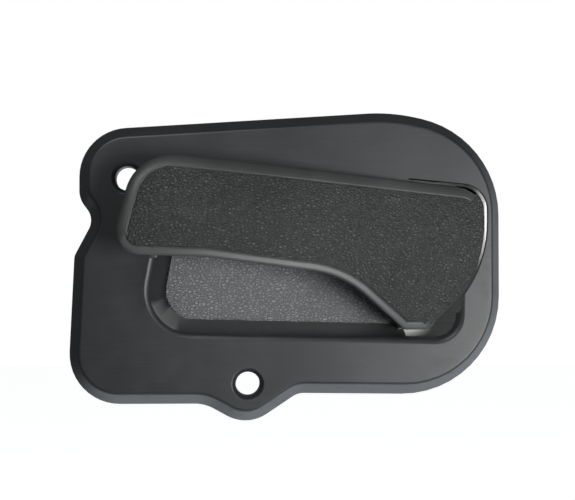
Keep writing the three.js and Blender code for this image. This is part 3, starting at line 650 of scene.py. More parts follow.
@dataclass(frozen=True)
class Finish:
    """A finish that starts from one base colour, with clouding, marks and worn edges."""

    name: str
    colour: tuple[float, float, float]
    roughness: float = 0.5
    metallic: float = 0.0
    cloud: float = 0.2
    wear: float = 0.3
    wear_colour: tuple[float, float, float] = (0.2, 0.2, 0.2)
    wear_radius: float = 0.0004
    lines: float = 0.3
    peel: float = 0.3
    bump: float = 0.00002
    grain: float = 0.0
    grain_scale: float = 1300.0
    grain_depth: float = 0.0001
    grain_by_attribute: bool = False
    # Painted light: a lighter colour painted on the marked lower wall of the recess, standing in for light
    # falling there.
    painted_light_colour: tuple[float, float, float] | None = None
    scuff: float = 0.15

    def build(self) -> bpy.types.Material:
        """Build the finish's material.

        Returns:
            The material.
        """
        made = bpy.data.materials.new(self.name)
        made.use_nodes = True
        made.node_tree.nodes.clear()
        net = Net(made.node_tree)
        place = net.add("TexCoord").outputs["Object"]
        parts = {}
        for key, tree in GROUPS.items():
            if key == "pebble" and not self.grain:
                continue
            node = net.add("Group", node_tree=tree)
            net.wire(place, node.inputs["Place"])
            parts[key] = node
        parts["wear"].inputs["Radius"].default_value = self.wear_radius
        parts["tooling"].inputs["Lines"].default_value = self.lines
        parts["tooling"].inputs["Peel"].default_value = self.peel

        shade = net.span(parts["bloom"].outputs["Cloud"], 0.0, 1.0, (1.0 - self.cloud, 1.0 + self.cloud))
        swing = STREAK_SHADE * self.lines
        streak = net.span(parts["tooling"].outputs["Streak"], 0.35, 0.65, (1.0 - swing, 1.0 + swing))
        shade = net.maths("MULTIPLY", shade, streak)
        height = net.maths("MULTIPLY", parts["tooling"].outputs["Height"], self.bump)
        rough = net.maths("MULTIPLY_ADD", parts["bloom"].outputs["Marks"], 0.06, self.roughness)
        if self.grain:
            parts["pebble"].inputs["Scale"].default_value = self.grain_scale
            where: object = self.grain
            if self.grain_by_attribute:
                mask = net.add("Attribute", attribute_name="grained", attribute_type="GEOMETRY")
                where = net.maths("MULTIPLY", mask.outputs["Fac"], self.grain)
            domes = net.maths("MULTIPLY", parts["pebble"].outputs["Height"], self.grain_depth)
            height = net.maths("ADD", height, net.maths("MULTIPLY", domes, where))
            # Painted shade and light: the grain's valleys are painted darker and its domes lighter, standing
            # in for the grain's own shading.
            valley_shade = net.maths("MULTIPLY", parts["pebble"].outputs["Valley"], where)
            shade = net.maths("MULTIPLY", shade, net.maths("MULTIPLY_ADD", valley_shade, -0.6, 1.25))
            rough = net.maths("MULTIPLY_ADD", valley_shade, 0.12, rough)
        scuffed = parts["scuffs"].outputs["Mask"]
        rough = net.maths("MULTIPLY_ADD", scuffed, -0.5 * self.scuff, rough, clamp=True)

        tint = net.add("Mix", data_type="RGBA", blend_type="MULTIPLY", Factor=1.0)
        tint.inputs["A"].default_value = (*self.colour, 1.0)
        grey = net.add("CombineColor")
        for socket in grey.inputs:
            net.wire(shade, socket)
        net.wire(grey.outputs[0], tint.inputs["B"])
        worn = net.add("Mix", data_type="RGBA")
        worn.inputs["B"].default_value = (*self.wear_colour, 1.0)
        net.wire(tint.outputs["Result"], worn.inputs["A"])
        # Painted light: the marked area is mixed towards a much lighter colour, standing in for light falling
        # on it.
        if self.painted_light_colour:
            painted_light_mask = net.add("Attribute", attribute_name="painted_light_mask", attribute_type="GEOMETRY")
            painted_lit = net.add("Mix", data_type="RGBA")
            painted_lit.inputs["B"].default_value = (*self.painted_light_colour, 1.0)
            net.wire(tint.outputs["Result"], painted_lit.inputs["A"])
            net.wire(painted_light_mask.outputs["Fac"], painted_lit.inputs["Factor"])
            net.wire(painted_lit.outputs["Result"], worn.inputs["A"])
        amount = net.maths("MULTIPLY", parts["wear"].outputs["Mask"], self.wear)
        amount = net.maths("MAXIMUM", amount, net.maths("MULTIPLY", scuffed, self.scuff * 0.35))
        net.wire(amount, worn.inputs["Factor"])

        bump = net.add("Bump", Strength=1.0, Distance=1.0)
        net.wire(height, bump.inputs["Height"])
        shader = net.add("BsdfPrincipled", Metallic=self.metallic)
        net.wire(worn.outputs["Result"], shader.inputs["Base Color"])
        net.wire(rough, shader.inputs["Roughness"])
        net.wire(bump.outputs["Normal"], shader.inputs["Normal"])
        net.wire(shader.outputs[0], net.add("OutputMaterial").inputs["Surface"])
        return made


FINISHES = {
    "escutcheon_moulding": Finish(
        "Satin black moulding", (0.021, 0.0235, 0.0245), 0.42, wear=0.35,
        # Painted light: the lighter colour below paints light onto the recess's lower wall.
        wear_colour=(0.11, 0.115, 0.12), lines=0.7, peel=0.5, painted_light_colour=(0.16, 0.165, 0.165),
    ),
    "grained_floor": Finish(
        "Grained recess floor", (0.23, 0.235, 0.24), 0.45, grain=1.0, grain_scale=1400.0,
        grain_depth=0.0004, lines=0.2,
    ),
    "grained_lever": Finish(
        "Grained lever", (0.036, 0.039, 0.038), 0.46, grain=1.0, grain_scale=1350.0, grain_depth=0.0005,
        grain_by_attribute=True, wear=0.4, wear_colour=(0.14, 0.145, 0.14), lines=0.25,
    ),
    "plated_steel": Finish(
        "Zinc plated steel", (0.72, 0.71, 0.67), 0.55, metallic=0.2, cloud=0.1, wear=0.3,
        wear_colour=(0.75, 0.75, 0.73), lines=0.6,
    ),
    "pin_steel": Finish(
        "Ground pin steel", (0.42, 0.42, 0.42), 0.25, metallic=1.0, cloud=0.06, wear=0.3,
        wear_colour=(0.6, 0.6, 0.6), lines=1.0,
    ),
    "screw_steel": Finish(
        "Blackened screw steel", (0.16, 0.16, 0.17), 0.38, metallic=0.9, cloud=0.15, wear=0.5,
        wear_colour=(0.5, 0.5, 0.5),
    ),
    "spring_steel": Finish(
        "Oiled spring wire", (0.22, 0.22, 0.23), 0.3, metallic=1.0, cloud=0.12, wear=0.2,
        wear_colour=(0.45, 0.45, 0.45),
    ),
    "nylon": Finish(
        "Natural nylon", (0.62, 0.6, 0.53), 0.45, cloud=0.06, wear=0.2, wear_colour=(0.75, 0.73, 0.66)
    ),
    "clip_plastic": Finish(
        "Rod clip plastic", (0.52, 0.5, 0.42), 0.42, cloud=0.06, wear=0.2, wear_colour=(0.7, 0.68, 0.6)
    ),
    "stop_rubber": Finish(
        "Stop rubber", (0.018, 0.018, 0.018), 0.8, cloud=0.3, wear=0.5, wear_colour=(0.07, 0.07, 0.07),
        peel=1.0, bump=0.00006,
    ),
}


class Workshop:
    """Dresses finished pieces and puts each on its body."""

    def __init__(self) -> None:
        """Build every finish once."""
        self.materials = {slot: finish.build() for slot, finish in FINISHES.items()}

    def hand_over(
        self, obj: bpy.types.Object, slot: str, body: str, *nodes: str, blend: tuple | None = None
    ) -> None:
        """Give a piece its finish, its body and the nodes that it stands for.

        Args:
            obj: The finished mesh, at the origin.
            slot: The record's material slot.
            body: The body that it rides on.
            nodes: The CAD nodes that it stands for.
            blend: The second body with the start and end points, for a piece that spans a joint; only whether
                it is given is used, and such a piece is then left in place on no body.
        """
        obj.data.materials.clear()
        obj.data.materials.append(self.materials[slot])
        if blend:
            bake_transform(obj)
        else:
            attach(obj, body)
        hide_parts(*nodes)
        LOG.info("%s: %d faces on %s", obj.name, len(obj.data.polygons), body)


# ---- The escutcheon -------------------------------------------------------------------------


@dataclass
class Escutcheon:
    """The moulded base plate: its skirt, the finger recess's walls, and the bosses and ribs behind."""

    outline: Outline = Outline((
        (-61.8, 40.7, 14.8), (-61.8, 20.2, 7.5), (-57.3, 14.2, 5.4), (-63.2, 3.0, 4.5),
        (-65.2, -41.3, 15.1), (-24.1, -41.3, 12.0), (-11.3, -48.3, 11.5), (3.9, -38.2, 6.0),
        (65.2, -38.9, 29.6), (65.2, 39.8, 30.0), (32.4, 46.9, 54.0),
    ))
    mouth: Outline = Outline((
        (-43.3, -20.0, 13.0), (51.8, -22.2, 7.5), (52.2, -4.0, 3.0), (50.0, 22.0, 3.0), (-35.0, 24.0, 6.0),
    ))
    lever_outline: Outline = Outline((
        (-51.0, 2.9, 7.0), (-24.0, 2.3, 40.0), (15.9, -2.7, 30.0), (34.9, -18.9, 3.0), (41.6, -18.9, 1.8),
        (59.4, -2.3, 35.5), (59.4, 23.2, 7.0), (-43.4, 32.4, 13.5),
    ))
    face_y: float = -8.0
    wall: float = 2.5
    skirt_draft: float = 3.4
    skirt_wall: float = 2.0
    skirt_edge: float = 1.1
    recess_draft: float = 4.3
    recess_depth: float = 12.0
    recess_end_x: float = 36.0
    lip_radius: float = 2.3
    collar_wall: float = 2.0
    lever_gap: float = 0.7
    hinge_lip: float = 0.4
    pivot: Pair = (45.6, -1.0)
    sweep_radius: float = 16.2
    panel_screws: tuple[Pair, ...] = ((-47.0, 25.9), (-11.3, -35.0))
    hole_radius: float = 3.6
    hole_mouth: float = 4.5
    bracket_bosses: tuple[Pair, ...] = ((31.0, 30.0), (45.0, 29.4), (31.0, -28.0), (46.0, -27.6))
    floor_bosses: tuple[Pair, ...] = ((-18.0, 30.2), (-50.0, -8.0), (5.0, -28.4))
    panel_boss_radius: float = 6.0
    boss_radius: float = 2.8
    pilot_radius: float = 1.7
    rib_width: float = 1.2
    uprights: tuple[float, ...] = (-30.0, 4.0, 18.0)
    crossbars: tuple[float, ...] = (-14.0, 8.0)

    def _shell(self) -> bpy.types.Object:
        """Make the drafted dish without its holes."""
        depth = -self.face_y
        draft = self.skirt_draft
        skirt = fillet(((0, 0, 0), (draft, depth, self.skirt_edge), (draft + 2.5, depth, 0)), 6)
        shell = blank("escutcheon_moulding", self.outline, [(inset, -y) for inset, y in skirt])
        hollow = self.skirt_wall + draft
        start = hollow - draft / depth * (depth - self.wall + 1.0)
        ceiling = self.face_y + self.wall
        inside = fillet(((start, 1.0, 0), (hollow, ceiling, 0.8), (hollow + 3, ceiling, 0)), 3)
        return fit(shell, [blank("cavity", self.outline, inside)], Fitting.CUT)

    def _ribs(self) -> bpy.types.Object:
        """Make the lattice of ribs behind the plate, trimmed to the dish."""
        back, front = self.face_y + self.wall + 4.0, self.face_y + self.wall - 1.0
        half = self.rib_width / 2
        bars = [block("rib", (x - half, front, -60), (x + half, back, 60)) for x in self.uprights]
        bars += [block("rib", (-70, front, z - half), (-0.3, back, z + half)) for z in self.crossbars]
        lattice = fit(bars[0], bars[1:], Fitting.JOIN)
        depth = -self.face_y
        inner = self.skirt_wall / 2
        limit = blank("limit", self.outline, ((inner, 0.5), (inner + self.skirt_draft, -depth + 1.0)))
        return fit(lattice, [limit], Fitting.KEEP_COMMON)

    def _bosses(self) -> list[bpy.types.Object]:
        """Make the screw bosses with a fillet at each foot."""
        start = self.face_y + self.wall - 1.0
        made = []
        stations = [(at, self.panel_boss_radius, 0.0) for at in self.panel_screws]
        stations += [(at, self.boss_radius, 8.1) for at in self.bracket_bosses]
        stations += [(at, self.boss_radius, 4.0) for at in self.floor_bosses]
        for (x, z), radius, back in stations:
            made.append(bar("boss", (x, start, z), (x, back, z), (radius, radius)))
            foot = self.face_y + self.wall
            made.append(bar("foot", (x, foot - 0.2, z), (x, foot + 1.0, z), (radius + 1.0, radius - 0.05)))
        return made

    def _collar(self) -> bpy.types.Object:
        """Make the walls round the finger recess."""
        slope = self.recess_draft / self.recess_depth
        start = self.face_y + 1.5
        back = self.face_y + self.recess_depth
        offset = -self.collar_wall + slope * 1.5
        levels = ((offset, start), (offset + slope * (back - start), back))
        return slice_off(blank("collar", self.mouth, levels), (self.recess_end_x, 0, 0), (1, 0, 0))

    def _mouth_tools(self) -> list[bpy.types.Object]:
        """Make the cutters for the recess, with its rolled lip, and for the lever's hinge end."""
        face, slope = self.face_y, self.recess_draft / self.recess_depth
        back = face + self.recess_depth + 1.0
        walls = fillet(
            ((-6.0, face - 0.06, 0), (0.0, face, self.lip_radius), (slope * (back - face), back, 0)), 7
        )
        pocket = blank("pocket", self.mouth, walls)
        behind = block("behind", (self.recess_end_x, face + self.wall + 1.0, -60), (80, back + 5, 60))
        fit(pocket, [behind], Fitting.CUT)
        gap = self.lever_gap
        edge = fillet(((-gap - 2.0, face - 0.05, 0), (-gap, face, 0.5), (-gap, face + 3.0, 0)), 4)
        seat = blank("lever_seat", self.lever_outline, edge)
        slice_off(seat, (self.recess_end_x + 0.5, 0, 0), (-1, 0, 0))
        px, py = self.pivot
        sweep = bar("sweep", (px, py, -3.0), (px, py, 24.1), (self.sweep_radius,) * 2, 96)
        cone = bar("sweep_low", (px, py, -14.0), (px, py, -2.9), (8.4, self.sweep_radius), 96)
        for tool in (sweep, cone):
            slice_off(tool, (0, face + self.hinge_lip, 0), (0, -1, 0))
        return [pocket, seat, sweep, cone]

    def _holes(self) -> list[bpy.types.Object]:
        """Make the cutters for the panel screws' flared holes and the pilot holes."""
        made = []
        face = self.face_y
        mouth = self.hole_mouth
        for x, z in self.panel_screws:
            profile = ((0, face - 1), (mouth + 0.5, face - 1), (mouth + 0.5, face - 0.02),
                       (mouth, face + 0.25), (self.hole_radius, face + 1.6), (self.hole_radius, 1), (0, 1))
            made.append(lay_over(turned("hole", (0, 0), profile, 64), x, z))
        for group_of, seat in ((self.bracket_bosses, 8.4), (self.floor_bosses, 4.0)):
            radii = (self.pilot_radius, self.pilot_radius)
            made += [bar("pilot", (x, seat - 7.0, z), (x, seat + 1, z), radii, 32) for x, z in group_of]
        return made

    def _mark_painted_light(self, shell: bpy.types.Object) -> None:
        """Mark the recess's lower wall, which is painted lighter as painted light."""
        marks = []
        for vert in shell.data.vertices:
            x, y, z = vert.co / MM
            low = -19.6 - 0.02 * x < z < -12.0 and x < self.recess_end_x + 0.1
            deep = self.face_y + 0.9 < y < self.face_y + self.recess_depth + 0.1
            marks.append(float(low and deep))
        mask = shell.data.attributes.new("painted_light_mask", "FLOAT", "POINT")
        mask.data.foreach_set("value", marks)

    def build(self, shop: Workshop) -> None:
        """Build and dress the escutcheon.

        Args:
            shop: The workshop that dresses it.
        """
        shell = self._shell()
        fit(shell, [self._collar(), self._ribs(), *self._bosses()], Fitting.JOIN)
        fit(shell, self._mouth_tools(), Fitting.CUT)
        fit(shell, self._holes(), Fitting.CUT)
        clean(shell)
        smooth(shell, 30.0)
        self._mark_painted_light(shell)
        shop.hand_over(shell, "escutcheon_moulding", "housing", "escutcheon")


# ---- The recess floor -----------------------------------------------------------------------


@dataclass
class RecessFloor:
    """The grained floor that closes the finger recess from behind."""

    outline: Outline
    draft: float = 4.3
    front_y: float = 4.3
    back_y: float = 6.3
    pad: float = 0.9
    end_x: float = 36.0
    end_wall: float = 1.8
    end_wall_y: float = -1.0
    seam: float = 0.3
    tabs: tuple[tuple[float, float, int, int], ...] = (
        (-18.0, 30.2, 0, -1), (-50.0, -8.0, 1, 0), (5.0, -28.4, 0, 1)
    )

    def build(self, shop: Workshop) -> None:
        """Build and dress the floor.

        Args:
            shop: The workshop that dresses it.
        """
        front, back = self.front_y, self.back_y
        edge = front - self.pad
        outer, inner = self.draft - 2.0, self.draft + self.seam
        rim = fillet(((outer, back, 0), (outer, front, 0.3), (inner, front, 0)), 3)
        rim += fillet(((inner, front + 0.001, 0), (inner, edge, 0.45), (self.draft + 4, edge, 0)), 4)
        plate = slice_off(blank("recess_floor_moulding", self.outline, rim), (self.end_x, 0, 0), (1, 0, 0))
        extras = []
        for x, z, towards_x, towards_z in self.tabs:
            extras.append(bar("tab", (x, front, z), (x, back, z), (3.5, 3.5)))
            reach_x = (0, 14.0) if towards_x else (-3.5, 3.5)
            reach_z = sorted((0, 14.0 * towards_z)) if towards_z else (-3.5, 3.5)
            low, high = (x + reach_x[0], front, z + reach_z[0]), (x + reach_x[1], back, z + reach_z[1])
            extras.append(block("bridge", low, high))
        slope = self.draft / 12.0
        start = inner - slope * (4.0 - self.end_wall_y)
        levels = ((start, self.end_wall_y), (inner, 4.0), (inner, 5.0))
        wall = blank("end_wall", self.outline, levels)
        slice_off(wall, (self.end_x, 0, 0), (1, 0, 0))
        slice_off(wall, (self.end_x - self.end_wall, 0, 0), (-1, 0, 0))
        fit(plate, [*extras, wall], Fitting.JOIN)
        holes = [bar("hole", (x, 2, z), (x, 8, z), (1.7, 1.7), 32) for x, z, _, _ in self.tabs]
        fit(plate, holes, Fitting.CUT)
        clean(plate)
        smooth(plate, 30.0)
        shop.hand_over(plate, "grained_floor", "housing", "recess_floor")


# ---- The lever ------------------------------------------------------------------------------


@dataclass
class Lever:
    """The pull lever: a crowned shell with a rolled border round a grained face, ribbed inside."""

    outline: Outline
    plan: tuple[Pair, ...] = ((62.0, -8.2), (38.0, -9.5), (0.0, -29.0), (-52.0, -30.2))
    crown_radius: float = 95.0
    crown_z: float = 5.0
    wall: float = 2.8
    rim: float = 7.0
    rim_wall: float = 2.4
    rolled_width: float = 3.5
    rolled_depth: float = 2.3
    crisp_width: float = 0.8
    crisp_depth: float = 0.6
    band: float = 2.35
    groove: float = 0.32
    hinge_x: float = 37.5
    hinge_y: float = -6.6
    plate_y: float = -8.6
    plate_z: float = 20.0
    uprights: tuple[float, ...] = (-34.0, -18.0, -2.0, 14.0)
    gate: Pair = (-38.5, 2.6)

    def front(self, x: np.ndarray, z: np.ndarray) -> np.ndarray:
        """Return the Y of the lever's crowned face at each X and Z, in millimetres."""
        t = np.linspace(0, 1, 600)[:, None]
        start, leave, arrive, end = np.array(self.plan)
        curve = (1 - t) ** 3 * start + 3 * (1 - t) ** 2 * t * leave + 3 * (1 - t) * t**2 * arrive + t**3 * end
        order = np.argsort(curve[:, 0])
        flat = np.interp(x, curve[order, 0], curve[order, 1])
        return flat + self.crown_radius - np.sqrt(self.crown_radius**2 - (z - self.crown_z) ** 2)

    def border(self, x: np.ndarray, z: np.ndarray) -> tuple[np.ndarray, np.ndarray, np.ndarray]:
        """Measure points against the outline.

        Args:
            x: Each point's X.
            z: Each point's Z.

        Returns:
            The distance to the outline, how far the nearest edge is one of the rolled ones, and how far it
            has a border at all, both from 0 to 1.
        """
        points = self.outline.points()
        ends = np.roll(points, -1, axis=0)
        edge = ends - points
        length = np.maximum((edge**2).sum(axis=1), 1e-12)
        place = np.column_stack([x, z])
        share = np.clip(((place[:, None] - points) * edge).sum(axis=2) / length, 0, 1)
        away = place[:, None] - (points + share[..., None] * edge)
        gaps = np.sqrt((away**2).sum(axis=2))
        nearest = gaps.argmin(axis=1)
        normal = np.column_stack([edge[:, 1], -edge[:, 0]]) / np.sqrt(length)[:, None]
        soft = np.exp(-((gaps - gaps.min(axis=1, keepdims=True)) / 1.2)) * np.sqrt(length)
        mean = (soft[..., None] * normal).sum(axis=1)
        mean /= np.maximum(np.linalg.norm(mean, axis=1, keepdims=True), 1e-9)
        rolled = np.clip((mean @ np.array((-0.5, 0.87)) + 0.15) / 0.5, 0, 1)
        banded = 1 - np.clip((mean[:, 0] - 0.35) / 0.3, 0, 1)
        return gaps[np.arange(len(x)), nearest], rolled * rolled * (3 - 2 * rolled) * banded, banded

    def _rolled_back(self, gap: np.ndarray, rolled: np.ndarray, banded: np.ndarray) -> np.ndarray:
        """Return how far the border falls back behind the crowned face, in millimetres."""
        soft = 1 - np.clip(gap / self.rolled_width, 0, 1)
        crisp = 1 - np.clip(gap / self.crisp_width, 0, 1)
        fall = rolled * self.rolled_depth * (1 - np.sqrt(1 - soft**2))
        fall += (1 - rolled) * self.crisp_depth * (1 - np.sqrt(1 - crisp**2))
        cut = (1 - rolled) * np.exp(-(((gap - self.band) / 0.2) ** 2))
        cut += 0.35 * rolled * np.exp(-(((gap - self.rolled_width) / 0.25) ** 2))
        return fall + self.groove * cut * banded

    def _warp(self, obj: bpy.types.Object, faced: bool = False) -> None:
        """Lay a flat mesh along the crowned face, short of the escutcheon and the hinge.

        Args:
            obj: The mesh, whose Y is its depth behind the face.
            faced: Whether its front has the border and is marked for grain.
        """
        count = len(obj.data.vertices)
        place = np.empty(count * 3)
        obj.data.vertices.foreach_get("co", place)
        x, depth, z = place.reshape(-1, 3).T / MM
        back = self.front(x, z)
        if faced:
            gap, rolled, banded = self.border(x, z)
            facing = depth < 0.5
            fall = self._rolled_back(gap, rolled, banded)
            edge = (self.band + rolled * (self.rolled_width - self.band) + 0.15) * banded
            grained = np.clip((gap - edge) / 0.5 + 0.5, 0, 1) * facing
            mask = obj.data.attributes.new("grained", "FLOAT", "POINT")
            mask.data.foreach_set("value", grained.astype(np.float32))
            depth = depth + fall * facing
        y = back + depth
        y = np.where(x > self.hinge_x, np.minimum(y, self.hinge_y), y)
        over_plate = (x <= self.hinge_x) & (z > self.plate_z)
        y = np.where(over_plate, np.minimum(y, self.plate_y), y)
        obj.data.vertices.foreach_set("co", (np.column_stack([x, y, z]) * MM).ravel())
        obj.data.update()

    def _shell(self) -> bpy.types.Object:
        """Make the crowned shell with its rim."""
        border = (
            4.6, 4.1, 3.8, 3.65, 3.5, 3.35, 3.1, 2.8, 2.6, 2.5, 2.42, 2.35, 2.28, 2.2, 2.1, 1.85, 1.5,
            1.15, 0.8, 0.6, 0.42, 0.27, 0.15, 0.07, 0.02,
        )
        rim, rim_wall = self.rim, self.rim_wall
        levels = [(inset, 0.0) for inset in border]
        levels += [(0.0, 0.0), (0.0, 3.2), (0.0, rim - 0.3), (0.3, rim), (rim_wall - 0.3, rim)]
        levels += [(rim_wall, rim - 0.3), (rim_wall, self.wall + 0.8), (rim_wall + 0.8, self.wall)]
        shell = blank("lever_moulding", self.outline, levels)
        for axis, places, step in (
            (Vector((1, 0, 0)), np.arange(-47.0, 59.0, 1.7), self.hinge_x),
            (Vector((0, 0, 1)), np.arange(-17.5, 32.0, 3.0), self.plate_z),
        ):
            score(shell, axis, [*places, step - 0.02, step + 0.02])
        self._warp(shell, faced=True)
        return clean(shell, 3e-6)

    def _stiffeners(self) -> bpy.types.Object:
        """Make the ribs inside the shell."""
        front, back = self.wall - 0.4, self.wall + 3.2
        made = [block("upright", (x - 0.6, front, -24), (x + 0.6, back, 40)) for x in self.uprights]
        made.append(block("spine", (-60, front, 11.4), (33.4, back, 12.6)))
        for rib in made:
            score(rib, Vector((1, 0, 0)), np.arange(-58.0, 33.0, 2.2))
            score(rib, Vector((0, 0, 1)), np.arange(-22.0, 40.0, 3.0))
        ribs = fit(made[0], made[1:], Fitting.JOIN)
        inner = self.rim_wall - 0.5
        fit(ribs, [blank("limit", self.outline, ((inner, -5.0), (inner, 20.0)))], Fitting.KEEP_COMMON)
        self._warp(ribs)
        return ribs

    def _nub(self) -> bpy.types.Object:
        """Make the trimmed gate mark on the lower edge of the free end."""
        x, z = self.gate
        y = float(self.front(np.array([x]), np.array([z]))[0])
        return block("gate", (x - 1.1, y + 2.4, z - 0.75), (x + 1.1, y + 4.2, z + 0.4), 0.2)

    def _hub(self) -> bpy.types.Object:
        """Make the hinge barrel and its webs from the lever's own solid, behind its hinge end."""
        hub = copy_of("lever", "lever_hub")
        slice_off(hub, (0, self.hinge_y + 0.05, 0), (0, -1, 0))
        slice_off(hub, (33.5, 0, 0), (-1, 0, 0))
        return hub

    def build(self, shop: Workshop) -> None:
        """Build and dress the lever.

        Args:
            shop: The workshop that dresses it.
        """
        shell = self._shell()
        select_only(shell, self._stiffeners(), self._nub())
        bpy.ops.object.join()
        smooth(shell, 38.0, weighted=False)
        hub = self._hub()
        break_edges(hub, 0.18)
        smooth(hub)
        shop.hand_over(shell, "grained_lever", "lever", "lever")
        shop.hand_over(hub, "grained_lever", "lever")


# ---- The hinge and what works it ------------------------------------------------------------


@dataclass
class ReturnSpring:
    """The torsion spring round the barrel: one leg through the bracket, one on the lever's web."""

    axis: Pair = (45.6, -1.0)
    coil_radius: float = 5.6
    wire_radius: float = 0.55
    bottom: float = 11.55
    pitch: float = 1.3
    turns: int = 3
    front_y: float = -7.4
    back_y: float = 11.2
    sides: int = 16

    def build(self, shop: Workshop) -> None:
        """Build and dress the spring.

        Args:
            shop: The workshop that dresses it.
        """
        x, y = self.axis
        leg_x = x - self.coil_radius
        bpy.ops.mesh.primitive_circle_add(
            vertices=self.sides, radius=self.wire_radius * MM, fill_type="NGON",
            location=(leg_x * MM, self.back_y * MM, self.bottom * MM), rotation=(math.pi / 2, 0, 0),
        )
        wire = adopt("return_spring_wire")
        steps = 32 * self.turns
        angle = math.tau * self.turns / steps
        rise = self.pitch * self.turns / steps
        middle = Vector((x, y, 0)) * MM
        turn = Matrix.Rotation(angle, 3, "Z")
        with editing(wire):
            into = {"value": (0, (y - self.back_y) * MM, 0)}
            bpy.ops.mesh.extrude_region_move(TRANSFORM_OT_translate=into)
            for _ in range(steps):
                bpy.ops.mesh.extrude_region_move(TRANSFORM_OT_translate={"value": (0, 0, rise * MM)})
                mesh = bmesh.from_edit_mesh(wire.data)
                for vert in (v for v in mesh.verts if v.select):
                    vert.co = turn @ (vert.co - middle) + middle
                bmesh.update_edit_mesh(wire.data)
            out = {"value": (0, (self.front_y - y) * MM, 0)}
            bpy.ops.mesh.extrude_region_move(TRANSFORM_OT_translate=out)
            bpy.ops.mesh.select_all(action="SELECT")
            bpy.ops.mesh.normals_make_consistent(inside=False)
        smooth(wire, 50.0, weighted=False)
        top = self.bottom + self.pitch * self.turns
        edge = self.wire_radius + 0.03
        ends = ((x * MM, y * MM, (self.bottom + edge) * MM), (x * MM, y * MM, (top - edge) * MM))
        shop.hand_over(wire, "spring_steel", "housing", "return_spring", blend=("lever", *ends))


@dataclass
class TappingScrew:
    """A pan-head tapping screw driven from behind, with a cross recess."""

    shank: float = 1.4
    length: float = 7.0
    head_radius: float = 3.0
    head: float = 2.0
    pitch: float = 1.1
    cross: float = 3.0
    cross_width: float = 0.72
    cross_depth: float = 1.1

    def pattern(self) -> bpy.types.Object:
        """Model the screw once, its head's seat at the origin and its point towards -Y."""
        head, wide, pitch = self.head, self.head_radius, self.pitch
        root = self.shank * 0.8
        corners = ((0.001, head, 0), (wide * 0.62, head, 0.7), (wide, head * 0.42, 0.5), (wide, 0.001, 0))
        dome = fillet(corners, 5)
        thread = []
        for k in range(int((self.length - 2.0) / pitch)):
            top = -0.5 - k * pitch
            thread += [(root, top), (self.shank, top - pitch * 0.25), (root, top - pitch * 0.5)]
        point = [(self.shank * 0.5, -self.length + 0.9), (0.0, -self.length)]
        profile = [(0.0, head), *dome, (root, 0.0), *thread, *point]
        screw = turned("screw_pattern", (0, 0), profile, 40)
        arms = [
            block("cross", (-a / 2, -b / 2, self.head - self.cross_depth), (a / 2, b / 2, self.head + 1))
            for a, b in ((self.cross, self.cross_width), (self.cross_width, self.cross))
        ]
        fit(screw, [fit(arms[0], arms[1:], Fitting.JOIN)], Fitting.CUT)
        return clean(lay_over(screw, 0, 0))

    def build(self, shop: Workshop) -> None:
        """Copy the screw to every station and dress the copies.

        Args:
            shop: The workshop that dresses them.
        """
        pattern = self.pattern()
        nodes = [f"floor_screw_{i}" for i in (1, 2, 3)] + [f"bracket_screw_{i}" for i in (1, 2, 3, 4)]
        for number, node in enumerate(nodes):
            low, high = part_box(node)
            screw = bpy.data.objects.new(node + "_pan_head", pattern.data.copy())
            bpy.context.scene.collection.objects.link(screw)
            middle = (low + high) / 2
            turn = Matrix.Rotation(0.5 + 1.3 * number, 4, "Y")
            screw.data.transform(Matrix.Translation((middle.x, high.y - self.head * MM, middle.z)) @ turn)
            smooth(screw, 35.0)
            shop.hand_over(screw, "screw_steel", "housing", node)
        bpy.data.objects.remove(pattern, do_unlink=True)


@dataclass(frozen=True)
class HingePart:
    """A hinge part that keeps its solid's shape and gets broken edges."""

    node: str
    name: str
    slot: str
    body: str
    edge: float
    angle: float = 38.0


@dataclass
class Hinge:
    """The bracket, pin, bushes, crank arm, rivets, rod clip and stops."""

    parts: tuple[HingePart, ...] = (
        HingePart("pivot_bracket", "pivot_bracket_pressing", "plated_steel", "housing", 0.22),
        HingePart("pivot_pin", "hinge_pin", "pin_steel", "housing", 0.12, 50.0),
        HingePart("pin_clip", "retaining_clip", "spring_steel", "housing", 0.08),
        HingePart("upper_bush", "bush_top", "nylon", "lever", 0.15, 50.0),
        HingePart("lower_bush", "bush_bottom", "nylon", "lever", 0.15, 50.0),
        HingePart("crank_arm", "crank_arm_plate", "plated_steel", "lever", 0.2),
        HingePart("arm_rivet_1", "rivet_front", "pin_steel", "lever", 0.25, 50.0),
        HingePart("arm_rivet_2", "rivet_rear", "pin_steel", "lever", 0.25, 50.0),
        HingePart("rod_clip", "latch_rod_clip", "clip_plastic", "rod_clip", 0.25),
        HingePart("closed_stop", "stop_closed", "stop_rubber", "housing", 0.3),
        HingePart("open_stop", "stop_open", "stop_rubber", "housing", 0.3),
    )

    def build(self, shop: Workshop) -> None:
        """Build and dress the parts.

        Args:
            shop: The workshop that dresses them.
        """
        for part in self.parts:
            obj = copy_of(part.node, part.name)
            break_edges(obj, part.edge, part.angle)
            smooth(obj)
            shop.hand_over(obj, part.slot, part.body, part.node)


# ---- The studio -----------------------------------------------------------------------------


